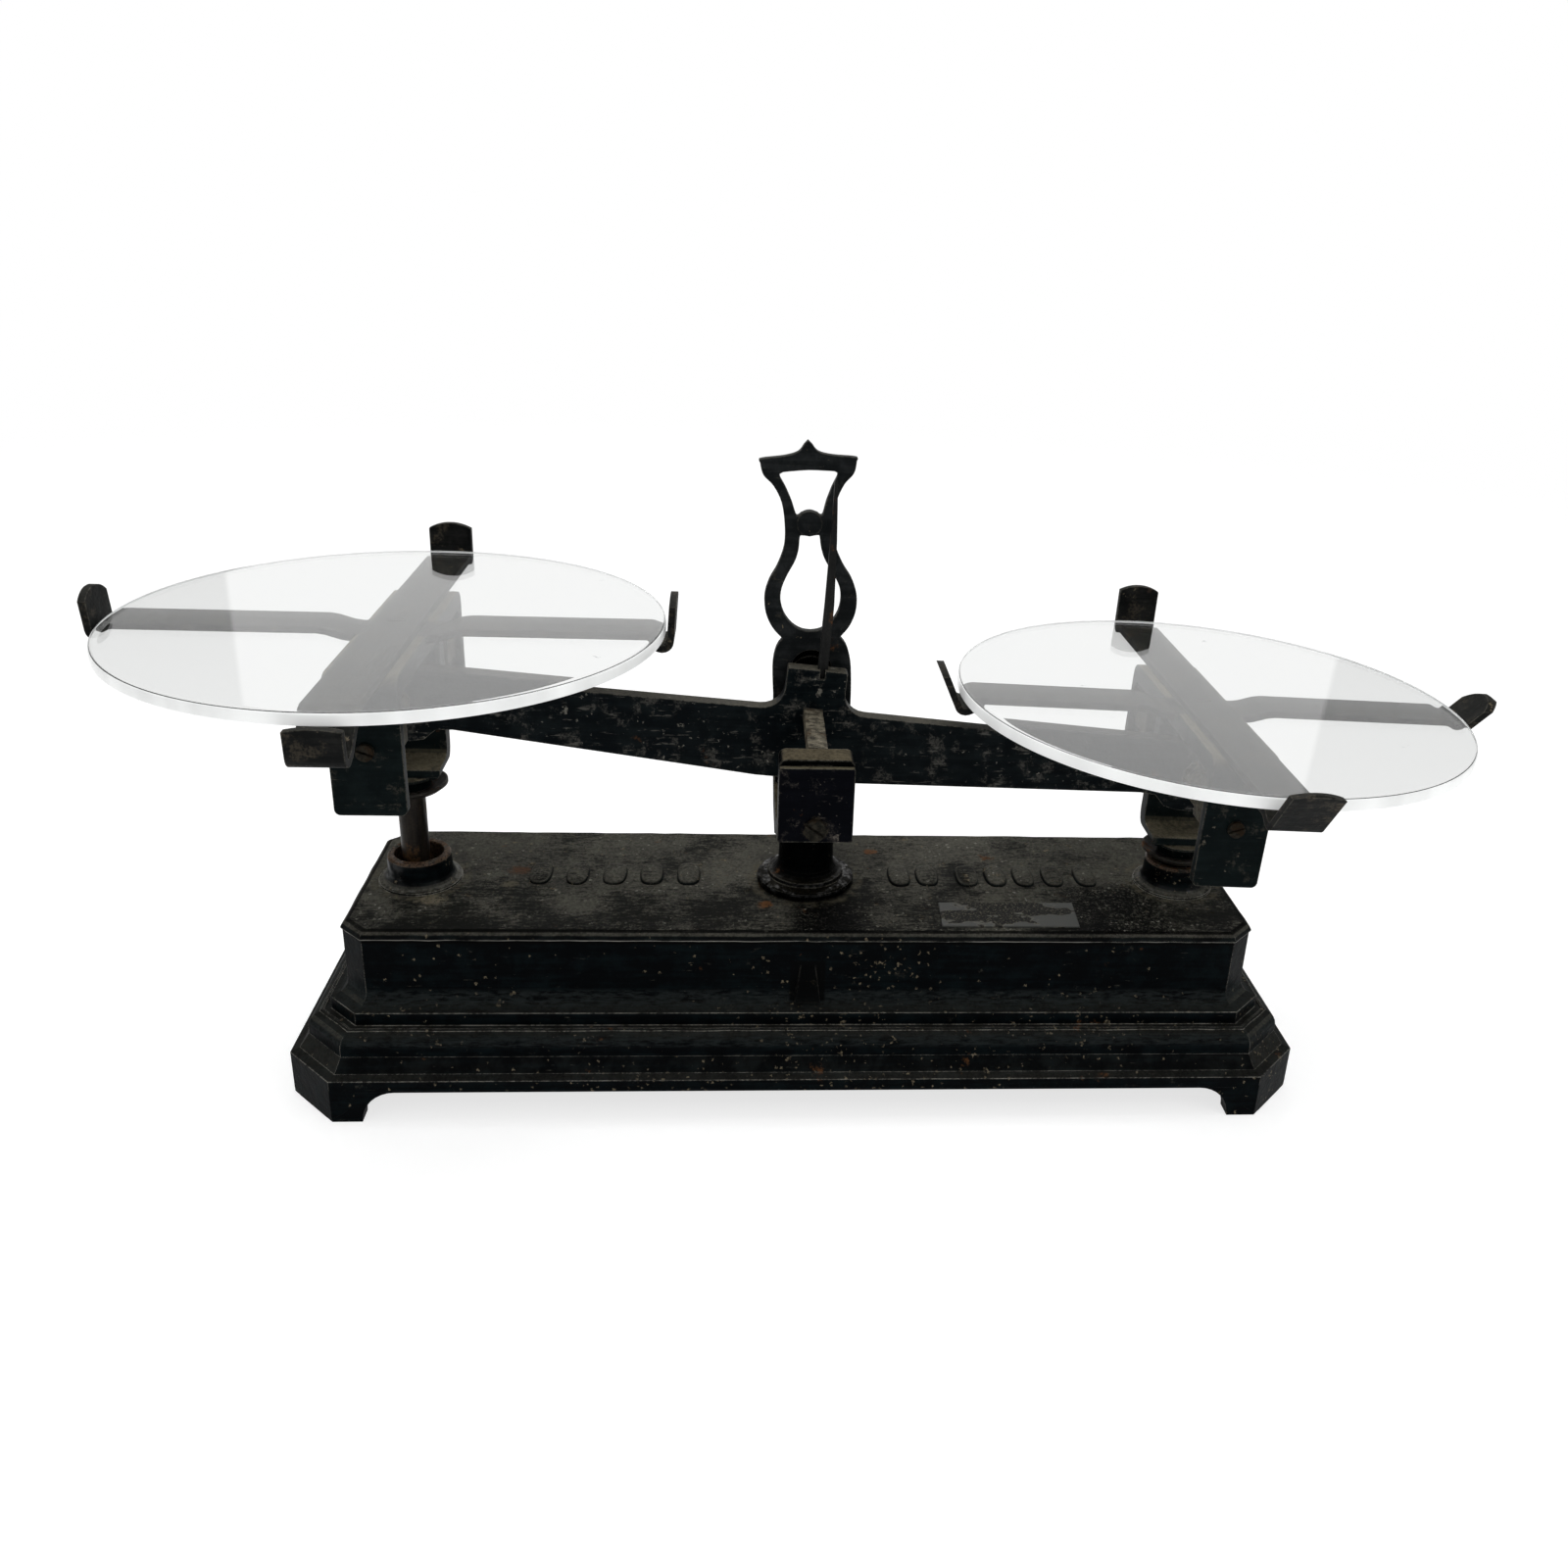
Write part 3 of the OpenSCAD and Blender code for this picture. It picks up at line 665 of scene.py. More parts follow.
@dataclass(frozen=True)
class ColumnCoat(Coat):
    """The column's paint: near black, with a glossy lumpy flange and dust on the prongs' tops."""

    flange_z: float = 0.0835
    prong_span: Span = (0.10, 0.115)

    def settle(self, at: Surface) -> Value:
        """Keeps the flange clean and the prongs dusty."""
        return at.maker.smooth(at.z, *self.prong_span, 0.10, 1.0)

    def shine(self, at: Surface) -> Value:
        """Leaves lumps of gloss on the flange."""
        lump = at.maker.smooth(at.maker.noise(at.place, 0.0035, 4.0, 0.7), 0.44, 0.66)
        return at.maker.smooth(at.z, self.flange_z + 0.002, self.flange_z - 0.001) * lump * 0.85


@dataclass(frozen=True)
class CoverCoat(Coat):
    """The cover plates' paint, with dry dirt round the screw heads."""

    screw_z: float = 0.1343
    screw_r: float = 0.0045
    dirt: Tone = (0.075, 0.062, 0.042)

    def marks(self, at: Surface, colour: Wire) -> Wire:
        """Adds the dirt round the screws.

        Args:
            at: the surface.
            colour: the colour so far.

        Returns:
            The colour.
        """
        maker = at.maker
        ragged = maker.noise(at.place, 0.0028, 4.0, 0.7)
        reach = maker.span(at.x, at.z - self.screw_z) + ragged * 0.003
        dirty = maker.smooth(reach, self.screw_r + 0.0032, self.screw_r + 0.0012)
        return maker.mix(dirty * maker.smooth(ragged, 0.44, 0.58) * 0.8, colour, self.dirt)


@dataclass(frozen=True)
class Bare:
    """Bare steel or iron, dulled with dirt and rust."""

    name: str
    tone: Tone = (0.060, 0.054, 0.044)
    dirt: Tone = (0.012, 0.011, 0.009)
    rust: Tone = (0.110, 0.052, 0.024)
    rust_share: float = 0.12
    rust_span: Span = (0.76, 0.86)
    metal: float = 0.5
    roughness: float = 0.48
    lines: Triple = (1.0, 1.0, 1.0)
    edge: float = 0.0006
    grain: float = 0.00010
    specular: float = 0.15
    slot: Slot = Slot.STEEL

    def build(self) -> bpy.types.Material:
        """Builds the material.

        Returns:
            The finished material.
        """
        material, maker = new_tree(self.name)
        place = maker.coordinates()
        soft = maker.make("ShaderNodeBevel", {"samples": 5}, {"Radius": self.edge})
        drawn = maker.noise(maker.stretch(place, self.lines), 0.0030, 5.0, 0.68)
        fine = maker.noise(place, 0.0008, 3.0, 0.7)
        spread = maker.noise(maker.shift(place, Apart.SPREAD.value), 0.011, 4.0, 0.66)
        colour = maker.mix(maker.smooth(drawn * 0.7 + fine * 0.3, 0.36, 0.68), self.dirt, self.tone)
        rusted = maker.smooth(spread + fine * 0.2, *(end - self.rust_share for end in self.rust_span))
        colour = maker.mix(rusted, colour, maker.mix(fine, shade(self.rust, 0.35), self.rust))
        maker.surface({
            "Base Color": colour, "Metallic": (1.0 - rusted) * self.metal,
            "Roughness": self.roughness - 0.1 + drawn * 0.2 + rusted * 0.3,
            "Normal": maker.bump(drawn + fine * 0.5 + spread, self.grain, soft),
            "Specular IOR Level": self.specular})
        return material


@dataclass(frozen=True)
class ClearSheet:
    """Clear plate with a few scratches and specks, and a rim painted bright and glowing, standing in for the
    light that the rim gathers.
    """

    name: str = "clear_plate"
    tone: Tone = (0.955, 0.965, 0.958)
    film: Tone = (0.30, 0.31, 0.31)
    film_roughness: float = 0.6
    scratch_turn: float = 0.9
    # Rim tone, roughness and glow paint the rim's highlight.
    rim_highlight_tone: Tone = (0.92, 0.94, 0.93)
    rim_roughness: float = 0.3
    rim_painted_glow: float = 0.30
    rim_span: Span = (0.95, 0.74)
    index: float = 1.45
    slot: Slot = Slot.CLEAR

    def build(self) -> bpy.types.Material:
        """Builds the material.

        Returns:
            The finished material.
        """
        material, maker = new_tree(self.name)
        place = maker.coordinates()
        clear = maker.make("ShaderNodeBsdfPrincipled", {}, {
            "Base Color": (*self.tone, 1.0), "Transmission Weight": 1.0, "Roughness": 0.0, "IOR": self.index})
        film = maker.make("ShaderNodeBsdfPrincipled", {}, {
            "Base Color": (*self.film, 1.0), "Roughness": self.film_roughness})
        speck = maker.spots(place, 0.009, 0.16, 0.07)
        turned = maker.make("ShaderNodeMapping", {}, {
            "Vector": place, "Rotation": (0.0, 0.0, self.scratch_turn)})
        line = maker.noise(maker.stretch(turned, (0.03, 1.0, 1.0)), 0.0016, 2.0)
        scratch = maker.smooth(line, 0.76, 0.82) * maker.smooth(maker.noise(place, 0.03), 0.5, 0.62)
        soiled = (speck * 0.7 + scratch * 0.4).least(0.8)
        plate = maker.make("ShaderNodeMixShader", {}, {0: soiled, 1: clear, 2: film})
        upright = maker.parts(maker.output(place, "Normal"))[2]
        veil = maker.noise(maker.stretch(place, (1.0, 1.0, 0.1)), 0.02, 3.0)
        rim = maker.smooth(abs(upright), *self.rim_span) * maker.smooth(veil, 0.3, 0.7, 0.80, 0.97)
        # Painted highlight and glow: the rim is white and emits light, though it is no lamp.
        glowing_rim = maker.make("ShaderNodeBsdfPrincipled", {}, {
            "Base Color": (*self.rim_highlight_tone, 1.0), "Roughness": self.rim_roughness,
            "Emission Color": (1.0, 1.0, 1.0, 1.0), "Emission Strength": self.rim_painted_glow})
        shader = maker.make("ShaderNodeMixShader", {}, {0: rim, 1: plate, 2: glowing_rim})
        maker.make("ShaderNodeOutputMaterial", {}, {"Surface": shader})
        return material


@dataclass(frozen=True)
class WornPlate:
    """Bare metal plate whose grey coat is mostly gone."""

    name: str = "worn_plate"
    coat: Tone = (0.052, 0.053, 0.048)
    under: Tone = (0.010, 0.010, 0.009)
    grit: Tone = (0.120, 0.110, 0.080)
    torn: Tone = (0.125, 0.120, 0.100)
    edge: float = 0.0004
    grain: float = 0.00022
    slot: Slot = Slot.STEEL

    def build(self) -> bpy.types.Material:
        """Builds the material.

        Returns:
            The finished material.
        """
        material, maker = new_tree(self.name)
        place = maker.coordinates()
        soft = maker.make("ShaderNodeBevel", {"samples": 4}, {"Radius": self.edge})
        patch = maker.noise(maker.stretch(place, (0.55, 1.0, 1.0)), 0.012, 4.0, 0.5)
        grain = maker.noise(place, 0.0010, 3.0, 0.8)
        left = maker.smooth(patch, 0.485, 0.50)
        colour = maker.mix(left, maker.mix(maker.smooth(grain, 0.52, 0.66), self.under, self.grit), self.coat)
        colour = maker.mix(maker.band(patch, 0.49, 0.016, 0.004) * 0.55, colour, self.torn)
        maker.surface({
            "Base Color": colour, "Roughness": 0.75 - left * 0.3, "Specular IOR Level": 0.15,
            "Normal": maker.bump(left * 0.8 + (1.0 - left) * grain, self.grain, soft)})
        return material


Finish = Coat | Bare | ClearSheet | WornPlate


class Paintbox:
    """Builds each finish once and puts it on pieces."""

    def __init__(self) -> None:
        """Starts empty."""
        self.made: dict[str, bpy.types.Material] = {}

    def get(self, finish: Finish) -> bpy.types.Material:
        """Finds the material of a finish, building it on first use.

        Args:
            finish: the finish.

        Returns:
            Its material.
        """
        if finish.name not in self.made:
            self.made[finish.name] = finish.build()
        return self.made[finish.name]

    def coat_node(self, node: str, finish: Finish) -> None:
        """Gives a CAD node its finish.

        Args:
            node: the CAD node's name.
            finish: its finish.
        """
        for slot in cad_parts[node].material_slots:
            slot.material = self.get(finish)
        LOG.info("%s: %s", node, finish.name)

    def coat_nodes(self, finishes: Mapping[str, Finish]) -> None:
        """Gives CAD nodes their finishes, listed by node name."""
        for node, finish in finishes.items():
            self.coat_node(node, finish)

    def coat_piece(self, piece: bpy.types.Object, finish: Finish, body: Body) -> None:
        """Gives a new piece its finish and its body.

        Args:
            piece: the piece, in place.
            finish: its finish.
            body: the body that it rides on.
        """
        piece.data.materials.clear()
        piece.data.materials.append(self.get(finish))
        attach(piece, body.value)
        LOG.info("%s on %s: %s, %d faces", piece.name, body.value, finish.name, len(piece.data.polygons))


# Mesh helpers


def add_mesh(name: str, verts: Sequence[Sequence[float]], faces: Sequence[Sequence[int]],
             smooth: bool = True) -> bpy.types.Object:
    """Makes an object at the origin from points and faces.

    Args:
        name: the object's name.
        verts: points in metres.
        faces: point numbers of each face.
        smooth: whether the faces are shaded smooth.

    Returns:
        The linked object.
    """
    mesh = bpy.data.meshes.new(name)
    mesh.from_pydata([tuple(v) for v in verts], [], [tuple(f) for f in faces])
    mesh.update()
    shape = bmesh.new()
    shape.from_mesh(mesh)
    bmesh.ops.recalc_face_normals(shape, faces=shape.faces)
    for face in shape.faces:
        face.smooth = smooth
    shape.to_mesh(mesh)
    shape.free()
    piece = bpy.data.objects.new(name, mesh)
    bpy.context.collection.objects.link(piece)
    return piece


def wall_faces(rings: int, points: int, closed: bool) -> list[tuple[int, ...]]:
    """Joins each ring of points to the next one, and the last ring to the first.

    Args:
        rings: how many rings there are.
        points: how many points each ring has.
        closed: whether a ring's last point joins its first.

    Returns:
        The faces.
    """
    return [(k * points + j, (k + 1) % rings * points + j, (k + 1) % rings * points + (j + 1) % points,
             k * points + (j + 1) % points)
            for k in range(rings) for j in range(points if closed else points - 1)]


def prism_faces(points: int, start: int = 0) -> list[tuple[int, ...]]:
    """Joins two equal outlines, one after the other in the list of points, into a closed prism.

    Args:
        points: how many points an outline has.
        start: number of the first point.

    Returns:
        The faces.
    """
    sides = [(j, (j + 1) % points, points + (j + 1) % points, points + j) for j in range(points)]
    ends = [tuple(range(points)), tuple(range(points, 2 * points))]
    return [tuple(start + corner for corner in face) for face in (*sides, *ends)]


def bake(source: bpy.types.Object, name: str) -> bpy.types.Object:
    """Turns an object with modifiers into a plain mesh object.

    Args:
        source: the object with live modifiers, which is removed.
        name: the new object's name.

    Returns:
        The plain object.
    """
    graph = bpy.context.evaluated_depsgraph_get()
    mesh = bpy.data.meshes.new_from_object(source.evaluated_get(graph), depsgraph=graph)
    mesh.name = name
    piece = bpy.data.objects.new(name, mesh)
    bpy.context.collection.objects.link(piece)
    bpy.data.objects.remove(source)
    return piece


def set_inputs(modifier: bpy.types.NodesModifier, values: Mapping[str, Any]) -> None:
    """Sets a Geometry Nodes modifier's inputs by their sockets' identifiers.

    Args:
        modifier: the modifier.
        values: values by input name.
    """
    for item in modifier.node_group.interface.items_tree:
        if item.item_type == "SOCKET" and item.in_out == "INPUT" and item.name in values:
            modifier[item.identifier] = values[item.name]


@dataclass
class BeadRows:
    """Rows of plain raised pads cast on a flat face, made by Geometry Nodes."""

    places: Sequence[Span]
    level: float
    width: float = 0.0112
    depth: float = 0.0215
    height: float = 0.0026
    crease: float = 0.22
    sway: float = 0.035
    least: Triple = (0.93, 0.95, 0.85)
    most: Triple = (1.05, 1.03, 1.1)
    seed: int = 7

    def tree(self) -> bpy.types.NodeTree:
        """Builds the tree that puts a rounded pad on each point.

        Returns:
            The tree, with inputs Width, Depth, Height, Seed and Finish.
        """
        tree = bpy.data.node_groups.new("raised_pads", "GeometryNodeTree")
        kinds = {"Geometry": "NodeSocketGeometry", "Width": "NodeSocketFloat", "Depth": "NodeSocketFloat",
                 "Height": "NodeSocketFloat", "Seed": "NodeSocketInt", "Finish": "NodeSocketMaterial"}
        for name, kind in kinds.items():
            tree.interface.new_socket(name=name, in_out="INPUT", socket_type=kind)
        tree.interface.new_socket(name="Geometry", in_out="OUTPUT", socket_type="NodeSocketGeometry")
        maker = NodeMaker(tree)
        given = maker.make("NodeGroupInput")
        wanted = {name: maker.output(given, name) for name in kinds}
        size = maker.make("ShaderNodeCombineXYZ", {}, {"X": wanted["Width"], "Y": wanted["Depth"],
                                                       "Z": wanted["Height"] * 2.0})
        block = maker.make("GeometryNodeMeshCube", {}, {"Size": size}, "Mesh")
        round_off = maker.make("GeometryNodeSubdivisionSurface", {}, {
            "Mesh": block, "Level": 3, "Edge Crease": self.crease})
        turn = maker.make("FunctionNodeRandomValue", {"data_type": "FLOAT_VECTOR"}, {
            0: (0.0, 0.0, -self.sway), 1: (0.0, 0.0, self.sway), "Seed": wanted["Seed"]}, 0)
        grow = maker.make("FunctionNodeRandomValue", {"data_type": "FLOAT_VECTOR"}, {
            0: self.least, 1: self.most, "Seed": wanted["Seed"]}, 0)
        copies = maker.make("GeometryNodeInstanceOnPoints", {}, {
            "Points": wanted["Geometry"], "Instance": round_off, "Rotation": turn, "Scale": grow})
        real = maker.make("GeometryNodeRealizeInstances", {}, {"Geometry": copies})
        shaded = maker.make("GeometryNodeSetShadeSmooth", {}, {"Geometry": real})
        done = maker.make("GeometryNodeSetMaterial", {}, {"Geometry": shaded, "Material": wanted["Finish"]})
        maker.make("NodeGroupOutput", {}, {"Geometry": done})
        return tree

    def build(self, name: str, finish: bpy.types.Material) -> bpy.types.Object:
        """Makes the rows as one plain mesh.

        Args:
            name: the piece's name.
            finish: its material.

        Returns:
            The piece.
        """
        source = add_mesh(name + "_points", [(x, y, self.level) for x, y in self.places], [])
        modifier = source.modifiers.new("pads", "NODES")
        modifier.node_group = self.tree()
        set_inputs(modifier, {"Width": self.width, "Depth": self.depth, "Height": self.height,
                              "Seed": self.seed, "Finish": finish})
        return bake(source, name)


# Sub-assemblies


@dataclass(frozen=True)
class Plan:
    """The base casting's eight-sided plan, stepped outward by an offset from the top plate's edge."""

    half_length: float = 0.193
    half_width: float = 0.0455
    corner: float = 0.230
    corner_rate: float = 1.519

    def corners(self, offset: float) -> list[Span]:
        """Lists the eight corners, turning left from the front right one.

        Args:
            offset: distance outward from the top plate's edge.

        Returns:
            The corners' X and Y.
        """
        x, y = self.half_length + offset, self.half_width + offset
        reach = self.corner + self.corner_rate * offset
        quarter = [(x, reach - x), (reach - y, y)]
        return [*[(a, -b) for a, b in reversed(quarter)], *quarter, *[(-a, b) for a, b in reversed(quarter)],
                *[(-a, -b) for a, b in quarter]]


@dataclass
class BaseAssembly:
    """The base casting, its beads, foot fillets, raised rows and the bare plate on its top."""

    box: Paintbox
    plan: Plan = Plan()
    lip: Sequence[Span] = ((0.0015, 0.0765), (0.0021, 0.07708), (0.0034, 0.0760), (0.0041, 0.0747),
                           (0.0042, 0.0740), (0.0035, 0.0734), (0.0028, 0.0736))
    bead: Sequence[Span] = ((0.0128, 0.0362), (0.0132, 0.0370), (0.0139, 0.0371), (0.0150, 0.0365),
                            (0.0146, 0.0356), (0.0136, 0.0354))
    cast: float = 0.00012
    cast_step: float = 0.007
    foot: Span = (0.014, 0.0145)
    foot_out: Span = (0.21998, 0.07248)
    foot_in: Span = (0.212, 0.0645)
    foot_starts: Span = (0.172, 0.024)
    foot_corner: float = 0.2709
    foot_into: float = 0.0007
    foot_steps: int = 8
    top_z: float = 0.0775
    row_y: float = 0.0035
    left_row: Sequence[float] = tuple(-0.1195 + 0.0166 * i for i in range(5))
    right_row: Sequence[float] = (0.0435, 0.0565, 0.0752, 0.0885, 0.1018, 0.1155, 0.1310)
    plate: Sequence[Span] = ((0.0578, -0.0434), (0.1184, -0.0435), (0.1196, -0.0220), (0.0588, -0.0222))
    plate_sink: float = 0.0002
    plate_rise: float = 0.0007
    plate_edge: float = 0.0003
    # The base's edge wear is bright, so that it also paints the highlights along the moulding's edges.
    coat: BaseCoat = BaseCoat("base_paint", cloud=(0.0024, 0.0052, 0.0062), dust=1.0, dust_from=0.42,
                              chip_share=0.50, chip_size=0.0058, rust_share=0.04, haze_and_sheen=0.05, wear=1.0,
                              wear_tone=(0.27, 0.26, 0.225), dust_tone=(0.092, 0.088, 0.072), grain=0.00026,
                              patch=0.03, scuff=0.04)

    def build(self) -> None:
        """Dresses the casting and adds what lies on its top."""
        self.box.coat_node("base_casting", self.coat)
        for name, section, seed in (("base_lip", self.lip, 5), ("base_ledge_bead", self.bead, 9)):
            self.box.coat_piece(self.band(name, section, seed), self.coat, Body.BASE)
        self.box.coat_piece(self.foot_fillets(), self.coat, Body.BASE)
        rows = BeadRows([(x, self.row_y) for x in (*self.left_row, *self.right_row)], self.top_z)
        piece = rows.build("base_raised_pads", self.box.get(self.coat))
        self.box.coat_piece(piece, self.coat, Body.BASE)
        self.box.coat_piece(self.plate_piece(), WornPlate(), Body.BASE)

    def band(self, name: str, section: Sequence[Span], seed: int) -> bpy.types.Object:
        """Runs a small moulding round the casting, slightly uneven as cast iron is.

        Args:
            name: the piece's name.
            section: offset and height of each point of the section.
            seed: seed of the unevenness.

        Returns:
            The band.
        """
        draw = np.random.default_rng(seed)
        rings: list[list[Triple]] = []
        outlines = [self.plan.corners(offset) for offset, _ in section]
        for side in range(8):
            start, end = outlines[0][side], outlines[0][(side + 1) % 8]
            parts = max(3, round(math.dist(start, end) / self.cast_step))
            for part in range(parts):
                along, sway = part / parts, draw.normal(0.0, self.cast, 2) * (part > 0)
                ring = []
                for outline, (_, level) in zip(outlines, section):
                    (x0, y0), (x1, y1) = outline[side], outline[(side + 1) % 8]
                    out = Vector((y1 - y0, x0 - x1)).normalized() * float(sway[0])
                    ring.append((x0 + (x1 - x0) * along + out.x, y0 + (y1 - y0) * along + out.y,
                                 level + float(sway[1]) * 0.6))
                rings.append(ring)
        verts = [point for ring in rings for point in ring]
        return add_mesh(name, verts, wall_faces(len(rings), len(section), True), smooth=False)

    def foot_fillets(self) -> bpy.types.Object:
        """Fills the feet out to their round inner corners under the rails.

        Returns:
            The eight fillets as one piece.
        """
        verts: list[Triple] = []
        faces: list[tuple[int, ...]] = []
        wide, tall = self.foot
        turn = [math.pi / 2 * i / self.foot_steps for i in range(self.foot_steps + 1)]
        for along in (0, 1):
            across = 1 - along
            start = self.foot_starts[along]
            curve = [(start + wide * math.sin(a), tall * math.cos(a)) for a in turn]
            walls = (self.foot_out[across], self.foot_in[across])
            for sx, sy in ((-1, -1), (1, -1), (1, 1), (-1, 1)):
                faces += prism_faces(len(curve) + 3, len(verts))
                for wall in walls:
                    end, roof = self.foot_corner - wall, tall + self.foot_into
                    for reach, level in [(start, roof), *curve, (end, 0.0), (end, roof)]:
                        x, y = (reach, wall) if along == 0 else (wall, reach)
                        verts.append((sx * x, sy * y, level))
        return add_mesh("base_foot_fillets", verts, faces, smooth=False)

    def plate_piece(self) -> bpy.types.Object:
        """Makes the thin bare plate with its broken edges.

        Returns:
            The plate.
        """
        levels = (self.top_z - self.plate_sink, self.top_z + self.plate_rise)
        verts = [(x, y, z) for z in levels for x, y in self.plate]
        piece = add_mesh("base_plate_source", verts, prism_faces(len(self.plate)), smooth=False)
        edge = piece.modifiers.new("edge", "BEVEL")
        edge.width = self.plate_edge
        edge.segments = 2
        return bake(piece, "base_bare_plate")


@dataclass
class ColumnAssembly:
    """The column, its bearings, cover plates and screws."""

    box: Paintbox
    iron: ColumnCoat = ColumnCoat("column_paint", dust=0.9, dust_from=0.70, chip_share=0.10, rust_share=0.03,
                                  specular=0.012, roughness=0.40, grain=0.0009, edge=0.0012,
                                  dust_tone=(0.110, 0.092, 0.060), haze_and_sheen=0.0, tint=(0.0003, 0.0005, 0.0006),
                                  cloud=(0.0008, 0.0012, 0.0013), patch=0.02, scuff=0.0)
    cover: Coat = CoverCoat("cover_paint", dust=1.0, chip_share=0.30, chip_size=0.006, rust_share=0.05,
                            roughness=0.42, tint=(0.0007, 0.0010, 0.0024), cloud=(0.0018, 0.0022, 0.0040),
                            chip_tone=(0.110, 0.098, 0.085), patch=0.11, patch_tone=(0.045, 0.040, 0.036),
                            haze_and_sheen=0.0, dust_tone=(0.105, 0.092, 0.060))
    block: Bare = Bare("bearing_steel", tone=(0.100, 0.090, 0.062), metal=0.15, rust_share=0.12,
                       roughness=0.6, rust=(0.085, 0.058, 0.034))
    screw: Bare = Bare("dark_screw", tone=(0.034, 0.030, 0.022), dirt=(0.005, 0.005, 0.004), metal=0.0,
                       rust=(0.030, 0.020, 0.012), rust_share=0.14, roughness=0.5, specular=0.04,
                       slot=Slot.IRON)
    window: Triple = (0.0092, 0.0126, 0.0178)
    window_z: Span = (0.1685, 0.172)
    window_steps: int = 16

    def build(self) -> None:
        """Dresses the column's nodes and closes the top of the plate behind the index frame."""
        self.box.coat_nodes({
            "column": self.iron, "centre_cover_plates": self.cover, "centre_bearings": self.block,
            "centre_cover_screws": self.screw, "column_nut": self.screw})
        self.box.coat_piece(self.window_top(), self.iron, Body.BASE)

    def window_top(self) -> bpy.types.Object:
        """Makes the round-topped web that closes the upper end of the clearance window.

        Returns:
            The web.
        """
        radius, near, far = self.window
        low, middle = self.window_z
        turn = [math.pi * i / self.window_steps for i in range(self.window_steps + 1)]
        arch = [(radius * math.cos(a), middle + radius * math.sin(a)) for a in turn]
        outline = [(radius, low), *arch, (-radius, low)]
        verts = [(x, y, z) for y in (near, far) for x, z in outline]
        return add_mesh("column_window_web", verts, prism_faces(len(outline)), smooth=False)


@dataclass
class IndexAssembly:
    """The index frame and its rivets."""

    box: Paintbox
    iron: Coat = Coat("index_paint", dust=0.5, chip_share=0.14, chip_size=0.005, rust_share=0.03,
                      specular=0.06, roughness=0.5, tint=(0.0050, 0.0065, 0.0070),
                      cloud=(0.018, 0.020, 0.021), wear=0.5)
    rivet: Bare = Bare("rivet_steel", tone=(0.040, 0.036, 0.030), metal=0.3)

    def build(self) -> None:
        """Dresses the index frame."""
        self.box.coat_nodes({"lyre": self.iron, "lyre_rivets": self.rivet})


@dataclass
class BeamAssembly:
    """The beam with its knives and needle."""

    box: Paintbox
    iron: Coat = Coat("beam_paint", dust=0.9, dust_from=0.6, chip_share=0.24, chip_size=0.0060,
                      rust_share=0.03, specular=0.04, roughness=0.40, tint=(0.0010, 0.0026, 0.0036),
                      cloud=(0.0050, 0.0080, 0.0090), chip_tone=(0.15, 0.145, 0.125), patch=0.125,
                      patch_tone=(0.058, 0.056, 0.050), scuff=0.085, dust_tone=(0.100, 0.092, 0.072),
                      wear=0.9)
    knife: Bare = Bare("knife_steel", tone=(0.215, 0.192, 0.140), dirt=(0.020, 0.017, 0.012), metal=0.1,
                       rust=(0.080, 0.056, 0.034), rust_share=0.12, roughness=0.6, grain=0.0003)
    needle: Bare = Bare("needle_steel", tone=(0.020, 0.021, 0.020), dirt=(0.007, 0.007, 0.007), metal=0.3,
                        rust_share=0.08, lines=(1.0, 1.0, 0.15))

    def build(self) -> None:
        """Dresses the beam's nodes."""
        self.box.coat_nodes({"beam": self.iron, "centre_knife": self.knife, "end_knives": self.knife,
                             "needle": self.needle})


@dataclass
class Undercarriage:
    """The parts inside the base: lower lever, hanger and pins."""

    box: Paintbox
    lever: Coat = Coat("lever_paint", dust=0.7, rust_share=0.12, specular=0.1)
    steel: Bare = Bare("pin_steel", tone=(0.12, 0.11, 0.095), metal=0.6)
    hanger: Bare = Bare("hanger_iron", tone=(0.040, 0.030, 0.022), metal=0.2, rust_share=0.24, roughness=0.7,
                        slot=Slot.IRON)

    def build(self) -> None:
        """Dresses the nodes inside the base."""
        self.box.coat_nodes({"lower_lever": self.lever, "lever_hanger": self.hanger, "lever_pin": self.steel,
                             "left_stem_pin": self.steel, "right_stem_pin": self.steel})


